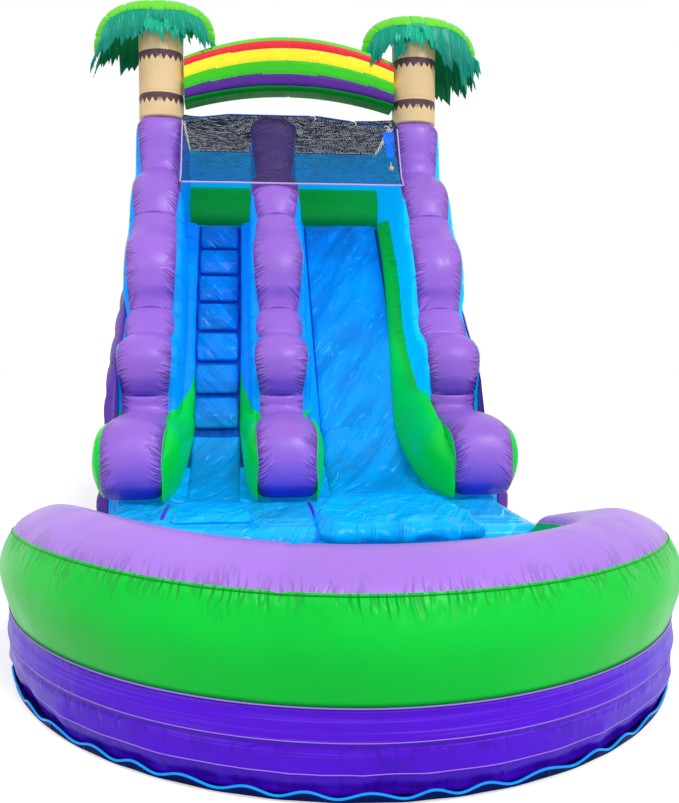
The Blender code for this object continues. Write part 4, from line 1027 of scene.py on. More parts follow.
@dataclass
class WallCap:
    """The purple front and top strip of a wall: soft pillows between cross seams, down to the bumper."""

    name: str
    centre_x: float
    columns: int = 44
    rows: int = 700
    edge_depth: float = 0.088
    back_depth: float = 0.105
    front_share: float = 0.78
    waist: float = 0.13
    full_length: float = 0.40
    piping_radius: float = 0.003
    welt_points: int = 240

    def __post_init__(self) -> None:
        """Spaces the rows closer together at the cross seams."""
        marks = [0.0]
        for low, high in zip(CAP_SEAMS, CAP_SEAMS[1:]):
            count = max(12, round(self.rows * (high - low) / CAP_LINE.length))
            for i in range(1, count + 1):
                even = i / count
                marks.append(low + (high - low) * (0.55 * even + 0.45 * (1 - math.cos(math.pi * even)) / 2))
        self.marks = marks
        self.rows = len(marks) - 1

    def ends(self, mark: float) -> Point:
        """The marks of the seams on both sides of a place.

        Args:
            mark: the length along the cap.

        Returns:
            The mark before it and the mark after it.
        """
        return next(
            (span for span in zip(CAP_SEAMS, CAP_SEAMS[1:]) if mark <= span[1]), (CAP_SEAMS[-2], CAP_SEAMS[-1]),
        )

    def pillow(self, mark: float) -> tuple[float, float, float]:
        """The share of the way over its pillow, the pillow's middle and the distance to the nearest seam."""
        low, high = self.ends(mark)
        return (mark - low) / (high - low), (low + high) / 2, min(abs(mark - seam) for seam in CAP_SEAMS[1:-1])

    def fullness(self, mark: float) -> float:
        """1 on the long pillows and less on the short panels between two close seams."""
        low, high = self.ends(mark)
        return min(1.0, (high - low) / self.full_length)

    def section(self, mark: float, side: float) -> tuple[float, float]:
        """Half width and height over the line at a place across the strip, from -1 to 1.

        Args:
            mark: the length along the cap.
            side: the place across, from -1 to 1.

        Returns:
            The half width and the height.
        """
        share, _, seam = self.pillow(mark)
        low = 1 - ease(mark, 0.10, 0.62)
        swell = math.sin(math.pi * min(1.0, max(0.0, share))) ** 0.8 * self.fullness(mark)
        swell = max(swell, low) if mark < CAP_SEAMS[1] / 2 else swell
        half = WALL_HALF * 1.02 * (1 - self.waist * (1 - swell)) * (1 - 0.02 * low)
        crown = (1.0 - abs(side) ** (2.2 + 2.6 * low)) ** (0.62 - 0.10 * low)
        arched = abs(seam) + 0.02 * side * side
        pull = 0.013 * bump(arched, 0.007) + 0.010 * bump(seam, 0.03)
        height = self.edge_depth * (1 - 0.30 * low) * (crown - 1) - pull * (0.25 + 0.75 * crown)
        return half, height + 0.003 * rough(mark * 4, side * 2, self.centre_x) * crown - 0.003

    def spot(self, u: float, v: float) -> Spot:
        """The point and seam facts at a place round and along the strip.

        Args:
            u: the share of the way across or round it.
            v: the share of the way along or down it.

        Returns:
            The point and the seam facts.
        """
        mark = self.marks[round(v * self.rows)]
        y, z = CAP_LINE.at(mark)
        ny, nz = CAP_LINE.normal(mark, 0.03)
        end = min(1.0, (mark + 0.035) / 0.06, (CAP_LINE.length - mark) / 0.03) if v > 0.0 else 0.0
        if u <= self.front_share:
            side = 2 * u / self.front_share - 1
            side = math.sin(side * math.pi / 2)
            half, height = self.section(mark, side)
        else:
            side = 1 - 2 * (u - self.front_share) / (1 - self.front_share)
            half, _ = self.section(mark, side)
            height = -self.back_depth
        height = -self.back_depth + (height + self.back_depth) * math.sqrt(max(0.0, end * (2 - end)))
        share, middle, _ = self.pillow(mark)
        away = (1 - abs(side)) * half
        run = mark + (mark - middle) * away * 2.2 + (20.0 if side > 0 else 0.0) + self.centre_x * 7
        strength = 0.35 + 0.65 * ease(1 - share, 0.10, 0.6)
        return Vector((self.centre_x + side * half, y + ny * height, z + nz * height)), (run, away, strength)

    def build(self) -> None:
        """Makes the strip and the welts along its two edges."""
        add_piece(self.name, skin(self.columns, self.rows, self.spot), [Look.PURPLE], "purple_vinyl", [self.name])
        for side, word in ((-1.0, "left"), (1.0, "right")):
            points = []
            for i in range(self.welt_points + 1):
                mark = CAP_LINE.length * (0.008 + 0.984 * i / self.welt_points)
                y, z = CAP_LINE.at(mark)
                ny, nz = CAP_LINE.normal(mark, 0.03)
                half, height = self.section(mark, side)
                points.append(Vector((self.centre_x + side * (half + 0.001), y + ny * height, z + nz * height)))
            piping(f"{self.name}_{word}_welt", points, self.piping_radius, Look.LILAC, "purple_vinyl")


@dataclass
class WallChamber:
    """The blue body of a wall under its cap, with green cheeks beside the bumper."""

    name: str
    centre_x: float
    rear_y: float
    left_swell: float
    right_swell: float
    left_outside: bool = False
    right_outside: bool = False
    rows: int = 300
    shoulder_z: float = 3.50
    side_share: float = 0.40
    cheek_mark: float = CAP_SEAMS[1] + 0.03
    blue: Look = Look.BLUE
    seam_spacing: float = 0.34

    def __post_init__(self) -> None:
        """Lays out the cap's seam line and the matching places on the deck."""
        upper = []
        for i in range(90):
            mark = 0.06 + (CAP_LINE.length - 0.06) * i / 89
            y, z = CAP_LINE.at(mark)
            ny, nz = CAP_LINE.normal(mark, 0.05)
            inset = 0.075 + 0.05 * (1 - ease(mark, 0.0, 0.25))
            upper.append((y - ny * inset, z - nz * inset))
        upper += [(CAP_REAR_Y + 0.02, self.shoulder_z), (self.rear_y, self.shoulder_z)]
        self.upper = Line(upper, 1)
        marks = [0.0] + [self.upper.mark_near(p) for p in (
            (0.93, 0.966), (1.50, 1.76), (1.963, 2.58), (2.50, 3.06), (3.06, 3.50),
        )] + [self.upper.length]
        self.deck_marks = marks
        self.deck_ys = [0.24, 1.13, 1.87, 2.60, 2.98, min(3.40, self.rear_y), self.rear_y]

    def swell(self, side: float, t: float, mark: float, z: float, y: float) -> float:
        """How far a side face stands out at a place between the cap and the deck.

        Args:
            side: the side, from -1 to 1.
            t: the share of the way down from the cap.
            mark: the length along the wall.
            z: the height.
            y: the place along the slide.

        Returns:
            The distance.
        """
        amount = self.left_swell if side < 0 else self.right_swell
        outside = self.left_outside if side < 0 else self.right_outside
        cheek = 1.0 - ease(mark, self.cheek_mark - 0.25, self.cheek_mark + 0.1)
        dome = (4 * t * (1 - t)) ** 0.4
        if outside:
            clear = ease(z - along(SIDE_TOP_POINTS, y), -0.02, 0.12) if y > 0.40 else 1.0
            return dome * (amount + 0.035 * cheek) * clear * (0.15 + 0.85 * ease(mark, -0.06, 0.30))
        return dome * (0.012 + amount * (1 - ease(y, 1.9, 2.5)) * ease(mark, 0.75, 1.7))

    def walk(self, u: float) -> Point:
        """How far down from the cap, and which side from -1 to 1, a share of the way round the wall is.

        Args:
            u: the share of the way across or round it.

        Returns:
            The share down and the side.
        """
        share = self.side_share
        if u < share:
            return u / share, -1.0
        if u < 0.5:
            return 1.0, -1 + 2 * (u - share) / (0.5 - share)
        if u < 0.5 + share:
            return 1 - (u - 0.5) / share, 1.0
        return 0.0, 1 - 2 * (u - 0.5 - share) / (0.5 - share)

    def spot(self, u: float, v: float) -> Spot:
        """The point and seam facts at a place round and along the wall.

        Args:
            u: the share of the way across or round it.
            v: the share of the way along or down it.

        Returns:
            The point and the seam facts.
        """
        mark = v * self.upper.length
        top_y, top_z = self.upper.at(mark)
        deck_y = float(np.interp(mark, self.deck_marks, self.deck_ys))
        deck_z = along(DECK, deck_y) + 0.001
        tall = math.hypot(top_y - deck_y, top_z - deck_z)
        t, side = self.walk(u)
        y, z = top_y + (deck_y - top_y) * t, top_z + (deck_z - top_z) * t
        cross = (mark / self.seam_spacing) % 1.0
        gap = min(cross, 1 - cross) * self.seam_spacing
        blue = ease(mark, self.cheek_mark, self.cheek_mark + 0.2)
        pull = bump(gap, 0.016) * 0.012 * blue
        half = WALL_HALF - 0.006 + (self.swell(side, t, mark, z, y) - pull if abs(side) == 1.0 else 0.0)
        edge = t * tall
        if edge < gap or blue < 0.5:
            facts = (mark + 4.0 * side + 9.0, edge, 0.30)
        else:
            facts = (edge + 4.0 * side + 2.0, gap, 0.25)
        end = min(1.0, v / 0.01, (1 - v) / 0.01)
        pinch = math.sqrt(end)
        centre = ((top_y + deck_y) / 2, (top_z + deck_z) / 2)
        y, z = centre[0] + (y - centre[0]) * pinch, centre[1] + (z - centre[1]) * pinch
        return Vector((self.centre_x + side * half * pinch, y, z)), facts

    def paint(self, u: float, v: float) -> int:
        """1 for the green cheeks, whose upper edge slopes from the cap up to the lane, 0 for the blue body."""
        t, _ = self.walk(u)
        return 1 if v * self.upper.length < self.cheek_mark - 0.17 + 0.42 * t else 0

    def build(self) -> None:
        """Makes the wall's body."""
        add_piece(
            self.name, skin(60, self.rows, self.spot, self.paint), [self.blue, Look.GREEN], "blue_vinyl",
            [self.name],
        )


@dataclass
class WallFoot:
    """A green foot along a lane: a low round tube above, a wide sloping cheek that runs out at the bumper."""

    name: str
    face_x: float
    side: float
    low_width: float
    high_width: float
    blue_above: float = 9.0
    high_height: float = 0.105
    cheek_height: float = 0.46
    cheek_start: float = 0.45
    cheek_end: float = 1.7
    front_y: float = 0.05
    rear_y: float = 3.03
    tread_length: float = 1.15
    arc_share: float = 0.7
    back_share: float = 0.15

    def taper(self, y: float) -> float:
        """How full the foot is behind its front end, from 0 to 1."""
        return math.sin(math.pi / 2 * min(1.0, max(0.0, (y - self.front_y) / 0.45)))

    def size(self, y: float) -> tuple[float, float, float]:
        """Its width, its height and how far it is a sloping cheek at y.

        Args:
            y: the place along the slide.

        Returns:
            The width, the height and the share.
        """
        cheek = 1 - ease(y, self.cheek_start, self.cheek_end)
        taper = self.taper(y)
        narrow = ease(y, self.cheek_start, self.cheek_end + 0.7)
        width = (self.low_width + (self.high_width - self.low_width) * narrow) * (0.06 + 0.94 * taper)
        height = self.high_height + (self.cheek_height - self.high_height) * cheek ** 1.3
        return width, height * (0.55 + 0.45 * taper), cheek

    def spot(self, u: float, v: float) -> Spot:
        """The point and seam facts at a place round and along the foot.

        Args:
            u: the share of the way across or round it.
            v: the share of the way along or down it.

        Returns:
            The point and the seam facts.
        """
        y = self.front_y + (self.rear_y - self.front_y) * v
        width, height, cheek = self.size(y)
        base = along(DECK, y) + 0.001
        tread = min(1.0, 0.08 + 0.92 * (y - self.front_y) / self.tread_length)
        if u < self.arc_share:
            angle = math.pi / 2 * u / self.arc_share
            bend = 0.70 + 0.55 * cheek
            belly = (1 - tread) * 0.62 * math.sin(2 * angle) ** 0.9
            out, up = width * (tread * math.cos(angle) ** bend + belly), height * math.sin(angle) ** bend
        elif u < self.arc_share + self.back_share:
            out, up = 0.0, height * (1 - (u - self.arc_share) / self.back_share)
        else:
            out, up = width * tread * (u - self.arc_share - self.back_share) / self.back_share, 0.0
        end = math.sqrt(min(1.0, v / 0.012, (1 - v) / 0.01))
        out, up = out * end, height * 0.4 + (up - height * 0.4) * end
        facts = (y + self.face_x * 5, max(0.0, 1 - u / self.arc_share) * height, 0.5)
        return Vector((self.face_x + self.side * (out + GAP), y, base + up)), facts

    def paint(self, u: float, v: float) -> int:
        """1 for the blue upper length, 0 for the green one."""
        y = self.front_y + (self.rear_y - self.front_y) * v
        return 1 if y > self.blue_above - 0.75 * min(u, self.arc_share) else 0

    def build(self) -> None:
        """Makes the foot."""
        shape = skin(34, 190, self.spot, self.paint)
        add_piece(self.name, shape, [Look.GREEN, Look.BLUE], "green_vinyl", [self.name])


@dataclass
class SideBody:
    """A purple side of the body: stacked round tubes, cut off along a soft sloping top edge."""

    name: str
    side: float
    front_y: float = 0.42
    set_back: float = 0.0
    base: float = 0.066
    depth: float = 0.0195
    pitch: float = TUBE_PITCH / 2
    inner_x: float = BODY_HALF + GAP
    face_share: float = 0.82

    def spot(self, u: float, v: float) -> Spot:
        """The point and seam facts at a place up and along the side.

        Args:
            u: the share of the way across or round it.
            v: the share of the way along or down it.

        Returns:
            The point and the seam facts.
        """
        y = self.front_y + (BODY_REAR_Y - self.front_y) * v
        top = along(SIDE_TOP_POINTS, y)
        end = math.sqrt(min(1.0, v / 0.014, (1 - v) / 0.008))
        if u < self.face_share:
            z = top * (u / self.face_share)
            cycle = (z / self.pitch) % 1.0
            away = min(cycle, 1 - cycle) * self.pitch
            arch = math.sqrt(max(0.0, math.sin(math.pi * cycle)))
            rim = math.sqrt(min(1.0, (top - z) / 0.10)) * math.sqrt(min(1.0, (z + 0.004) / 0.02))
            drawn_in = 1 - self.set_back * ease(z, 0.36, 0.60) * (1 - ease(y, 1.0, 2.3))
            out = (self.base + self.depth * arch) * rim * end * drawn_in
        else:
            z, out, away = top * (1 - (u - self.face_share) / (1 - self.face_share)), 0.0, 1.0
        return Vector((self.side * (self.inner_x + out), y, z)), (y + self.side * 3, away, 0.4)

    def build(self) -> None:
        """Makes the side."""
        add_piece(self.name, skin(220, 150, self.spot), [Look.INDIGO], "purple_vinyl", [self.name])


@dataclass
class LandingBed:
    """The flat blue cushion under the bumpers, with cross seams and a ribbed front."""

    half_width: float = 1.28
    strap_xs: tuple[float, float] = (-0.93, -0.015)
    strap_half: float = 0.011
    strap_ys: tuple[float, float] = (-0.54, 0.02)
    front_seams: tuple[float, float] = (-0.735, -0.82)
    seam_reach: float = 1.19

    def build(self) -> None:
        """Makes the bed and the two fastening straps on it."""
        seams = [(1, -0.62), (0, -0.40), (0, 0.12), (0, 0.84), (0, -1.0), (2, 0.20)]
        shape = puffed_box(
            (-self.half_width, BED_FRONT_Y, 0.0), (self.half_width, RUNOUT_START_Y, BED_HEIGHT - 0.006), 0.07,
            (0.0, 0.0, 0.004), seams, pitch=0.03, groove=0.018, strength=0.9,
        )
        layer = shape.verts.layers.float_vector[SEAM_FACTS]
        for vert in shape.verts:
            x, y, z = vert.co
            vert[layer] = (x, y + z, 0.4 * (1 - ease(y, -0.72, -0.50)))
        add_piece("landing_bed_cushion", shape, [Look.SKY], "blue_vinyl", ["landing_bed"])
        for index, y in enumerate(self.front_seams):
            line = [
                Vector((x, y + 0.004 * rough(x * 3, y), BED_HEIGHT - 0.003))
                for x in np.linspace(-self.seam_reach, self.seam_reach, 90)
            ]
            piping(f"bed_seam_{index + 1}", line, 0.004, Look.BLUE, "blue_vinyl")
        for index, x in enumerate(self.strap_xs):
            front, rear = self.strap_ys
            strap = puffed_box(
                (x - self.strap_half, front, BED_HEIGHT - 0.006), (x + self.strap_half, rear, BED_HEIGHT + 0.002),
                0.003, (0.0, 0.0, 0.0), pitch=0.02, groove=0.0,
            )
            add_piece(f"bed_strap_{index + 1}", strap, [Look.VIOLET], "purple_vinyl")


@dataclass
class Decks:
    """The inflated slab under both lanes and the platform's floor."""

    depth: float = 0.236
    front_half: float = 1.27
    bright_below: float = 0.80
    seam_spacing: float = 0.30

    def spot(self, u: float, v: float) -> Spot:
        """The point and seam facts at a place round and along the slab.

        Args:
            u: the share of the way across or round it.
            v: the share of the way along or down it.

        Returns:
            The point and the seam facts.
        """
        y = RUNOUT_START_Y + 0.001 + (PLATFORM_EDGE_Y - RUNOUT_START_Y - 0.001) * v
        top = along(DECK, y) - 0.001
        corner = 4 * u
        side = int(corner) % 4
        share = corner - int(corner)
        half = self.front_half + (BODY_HALF - 0.001 - self.front_half) * ease(y, 0.25, 0.45)
        x, down = [
            (-half + 2 * half * share, 0.0), (half, self.depth * share), (half - 2 * half * share, self.depth),
            (-half, self.depth * (1 - share)),
        ][side]
        end = min(1.0, v / 0.004, (1 - v) / 0.004)
        down = self.depth / 2 + (down - self.depth / 2) * end
        cross = (y / self.seam_spacing) % 1.0
        gap = min(cross, 1 - cross) * self.seam_spacing
        ridge = 0.006 * bump(gap, 0.02) if side in (0, 2) else 0.0
        down += ridge if side == 0 else -ridge
        return Vector((x * (0.2 + 0.8 * end), y, top - down)), (x + 4, gap, 0.6)

    def paint(self, u: float, v: float) -> int:
        """1 for the bright foot of the slab, 0 for the dark blue behind the steps, painted shade in the gaps between
        the pads.
        """
        y = RUNOUT_START_Y + (PLATFORM_EDGE_Y - RUNOUT_START_Y) * v
        return 1 if y < self.bright_below else 0

    def build(self) -> None:
        """Makes the slab and the floor."""
        slab = skin(64, 140, self.spot, self.paint)
        add_piece("slope_cushion", slab, [Look.DARK_BLUE_AND_GAP_SHADE, Look.LINER], "blue_vinyl", ["slope_deck"])
        floor = puffed_box(
            (-BODY_HALF, PLATFORM_EDGE_Y + GAP, PLATFORM_HEIGHT - 0.25),
            (BODY_HALF, 3.8997, PLATFORM_HEIGHT - GAP), 0.03, (0, 0, 0), [(0, -0.7), (0, 0.0), (0, 0.7)],
            pitch=0.06, groove=0.012,
        )
        add_piece("platform_cushion", floor, [Look.BLUE], "blue_vinyl", ["platform_deck"])


@dataclass
class RearBody:
    """The purple back of the slide: flat-backed tubes one over the other."""

    def build(self) -> None:
        """Makes the back."""
        seams = [(2, TUBE_PITCH * i) for i in range(1, 6)]
        shape = puffed_box(
            (-BODY_HALF, 3.90, 0.0), (BODY_HALF, BODY_REAR_Y, PLATFORM_HEIGHT - 0.002), 0.05, (0, 0, 0), seams,
            pitch=0.036, groove=0.03, strength=0.4,
        )
        add_piece("rear_cushion", shape, [Look.INDIGO], "purple_vinyl", ["rear_body"])


@dataclass
class BackRails:
    """The green and blue tubes that close the platform's back."""

    front_y: float = 3.84
    split_z: float = 3.10
    top_z: float = 3.52
    overlap: float = 0.035

    def build(self) -> None:
        """Makes both rails and the welt along the upper one."""
        reach = WALL_FACE + 0.24
        seams = [(0, CENTRE_WALL_X)]
        tubes = (
            ("lower", PLATFORM_HEIGHT, self.split_z + self.overlap, 0.235, Look.RAIL_GREEN, "green_vinyl"),
            ("upper", self.split_z - self.overlap, self.top_z, 0.19, Look.PAINTED_LIT_BLUE, "blue_vinyl"),
        )
        for word, low, high, rounding, look, slot in tubes:
            tube = puffed_box(
                (-reach, self.front_y, low), (reach, BODY_REAR_Y, high), rounding, (0, 0, 0), seams,
                pitch=0.03, groove=0.02, strength=0.5,
            )
            add_piece(f"back_rail_{word}_tube", tube, [look], slot, [f"back_rail_{word}"])
        points = [Vector((x, self.front_y + 0.045, self.top_z - 0.03)) for x in np.linspace(-0.90, 0.90, 40)]
        piping("back_rail_welt", points, 0.006, Look.LILAC, "blue_vinyl")


@dataclass
class ClimbSteps:
    """Seven glossy step pads up the narrow lane."""

    count: int = 7
    first_z: float = 0.80
    middle_x: float = -0.6515
    half_width: float = 0.172
    depth: float = 0.112
    pad_share: float = 0.90

    def surface_y(self, z: float) -> float:
        """Where the riding surface reaches a height."""
        return float(np.interp(z, [p[1] for p in DECK[1:-1]], [p[0] for p in DECK[1:-1]]))

    def pad(self, index: int) -> bmesh.types.BMesh:
        """One pad: a puffed wedge with a leaning front, taut in its middle and drawn in at its ends.

        Args:
            index: its number, from 0 at the bottom.

        Returns:
            The shape.
        """
        rise = (PLATFORM_HEIGHT - self.first_z) / self.count
        low = self.first_z + rise * index
        high = low + rise * self.pad_share
        back_low, back_high = self.surface_y(low), self.surface_y(high)
        corners = [
            (back_low, low + 0.001), (back_low - self.depth * 0.33, low + rise * 0.05),
            (back_low - self.depth * 0.15, low + rise * 0.45), (back_high - self.depth, high),
            (back_high, high + 0.001),
        ]
        outline = Line(corners + [corners[0]], 1)
        centre = (sum(c[0] for c in corners) / 5, sum(c[1] for c in corners) / 5)
        offsets = (-0.014, -0.007, 0.0, 0.007, 0.014)

        def place(u: float, v: float) -> Spot:
            """A point round and across the pad.

            Args:
                u: the share of the way across or round it.
                v: the share of the way along or down it.

            Returns:
                The point and the seam facts.
            """
            near = [outline.at((u * outline.length + step) % outline.length) for step in offsets]
            y, z = sum(p[0] for p in near) / 5, sum(p[1] for p in near) / 5
            x = 2 * v - 1
            end = (1 - abs(x) ** 26) ** 0.5
            sag = 0.010 * x * x
            y, z = centre[0] + (y - centre[0]) * end, centre[1] + (z - centre[1]) * end
            wave = 0.007 * rough(x * 3 + index * 7, z * 9) * end
            return Vector((self.middle_x + x * self.half_width, y - wave + sag, z)), (
                x * self.half_width + index * 2.3, z - low, 0.15)

        return skin(60, 60, place)

    def build(self) -> None:
        """Makes the pads."""
        for index in range(self.count):
            name = f"climb_step_{index + 1}"
            add_piece(name + "_pad", self.pad(index), [Look.STEP], "blue_vinyl", [name])


@dataclass
class Liner:
    """A loose slick sheet over a lane, wrinkled and bunched towards its lower end."""

    name: str
    low_y: float
    high_y: float
    left_x: tuple[float, float]
    right_x: tuple[float, float]
    drop: float
    bunch_y: float
    lift: float
    seed: float
    columns: int = 90
    rows: int = 420

    def path(self) -> Line:
        """The sheet's run over the deck and, with a drop, down over the bed's front.

        Returns:
            The line.
        """
        points = [(y, z) for y, z in DECK if self.low_y < y < self.high_y]
        points = [(self.low_y, BED_HEIGHT)] + points + [(self.high_y, along(DECK, self.high_y))]
        if self.drop > 0.0:
            front = self.low_y - 0.012
            hang = [(front - 0.004, BED_HEIGHT - self.drop), (front - 0.012, BED_HEIGHT - self.drop / 2)]
            points = hang + [(front - 0.008, BED_HEIGHT - 0.05), (front + 0.03, BED_HEIGHT - 0.004)] + points[1:]
        return Line(points, 6)

    def spot(self, u: float, v: float) -> Spot:
        """The point and seam facts at a place across and along the sheet.

        Args:
            u: the share of the way across or round it.
            v: the share of the way along or down it.

        Returns:
            The point and the seam facts.
        """
        mark = v * self.line.length
        side = 2 * u - 1
        y, z = self.line.at(mark)
        ny, nz = self.line.normal(mark, 0.03)
        spread = 1 - ease(y, self.low_y + 0.25, self.bunch_y + 0.55)
        left = self.left_x[1] + (self.left_x[0] - self.left_x[1]) * spread
        right = self.right_x[1] + (self.right_x[0] - self.right_x[1]) * spread
        low_end = 1 - ease(mark, 0.0, 0.10)
        x = (left + right) / 2 + side * (right - left) / 2 * (1 - 0.10 * low_end * abs(side) ** 6)
        bunch = 1 - ease(y, self.bunch_y - 0.1, self.bunch_y + 0.7)
        slant = x * 1.9 + mark * 0.9
        folds = 1 - abs(rough(slant * 2.0, mark * 0.9 - x * 1.6, self.seed)) * 1.6
        crumple = 1 - abs(rough(x * 3.2 + 3, mark * 2.6, self.seed + 5)) * 1.7
        crumple += 0.13 * (1 - abs(rough(x * 8, mark * 6.5, self.seed + 9)) * 1.7)
        fan = math.atan2(PLATFORM_HEIGHT - z + 0.1, right - x + 0.05)
        upper_fan = 1 - abs(rough(fan * 7.0, 0.35 * mark, self.seed + 2)) * 1.8
        raise_by = self.lift * (0.22 * folds + 0.28 * upper_fan * (1 - bunch) + bunch * (0.45 * folds + 0.75 * crumple))
        rim = min(1.0, (1 - abs(side)) * 8 + 0.25)
        raise_by = raise_by * rim * (0.12 + 0.88 * ease(mark, 0.0, 0.14)) + 0.003
        hem = 0.008 * rough(x * 6, 0.0, self.seed + 3) * low_end if self.drop > 0.0 else 0.0
        return Vector((x, y + ny * raise_by, z + nz * raise_by + hem)), (x + self.seed, mark, bunch * 0.9)

    def build(self, flat: tuple[float, float], area: float, node: str, rests: Sequence[str]) -> None:
        """Makes the sheet.

        Args:
            flat: the width and length that it was cut to; not used.
            area: its flat area; not used.
            node: the solid that it stands for.
            rests: what it lies on; not used.
        """
        self.line = self.path()
        shape = skin(self.columns, self.rows, self.spot, wrap=False)
        sheet = add_piece(self.name, shape, [Look.LINER], "blue_vinyl", [node], closed=False, thickness=0.002)


# Long tips of the leaf curtains and the skirt, as the share along the rib and the height
LEFT_LEAF_TIPS: dict[str, list[Point]] = {
    "outer": [(0.13, 4.26), (0.28, 4.17), (0.40, 4.12), (0.52, 4.13), (0.64, 4.05), (0.76, 4.03), (0.88, 3.95),
              (1.0, 3.91)],
    "arch": [(0.16, 4.27), (0.34, 4.20), (0.50, 4.22), (0.66, 4.12), (0.84, 4.12), (1.0, 4.03)],
}
RIGHT_LEAF_TIPS: dict[str, list[Point]] = {
    "outer": [(0.12, 4.28), (0.26, 4.12), (0.38, 3.98), (0.48, 4.02), (0.60, 3.80), (0.72, 3.90), (0.86, 3.94),
              (1.0, 4.00)],
    "arch": [(0.16, 4.24), (0.32, 4.06), (0.46, 4.14), (0.62, 4.03), (0.80, 3.98), (1.0, 4.06)],
}
REAR_LEAF_TIPS: dict[str, list[Point]] = {
    "outer": [(0.20, 3.93), (0.32, 3.84), (0.48, 3.78), (0.60, 3.86), (0.74, 3.84), (0.88, 3.90), (1.0, 3.92)],
    "arch": [(0.20, 4.38), (0.40, 4.34), (0.60, 4.30), (0.80, 4.26), (1.0, 4.20)],
}
SKIRT_TIPS: list[Point] = [
    (0.16, 4.22), (0.30, 4.17), (0.44, 4.19), (0.56, 4.15), (0.70, 4.18), (0.84, 4.15), (1.0, 4.20),
]


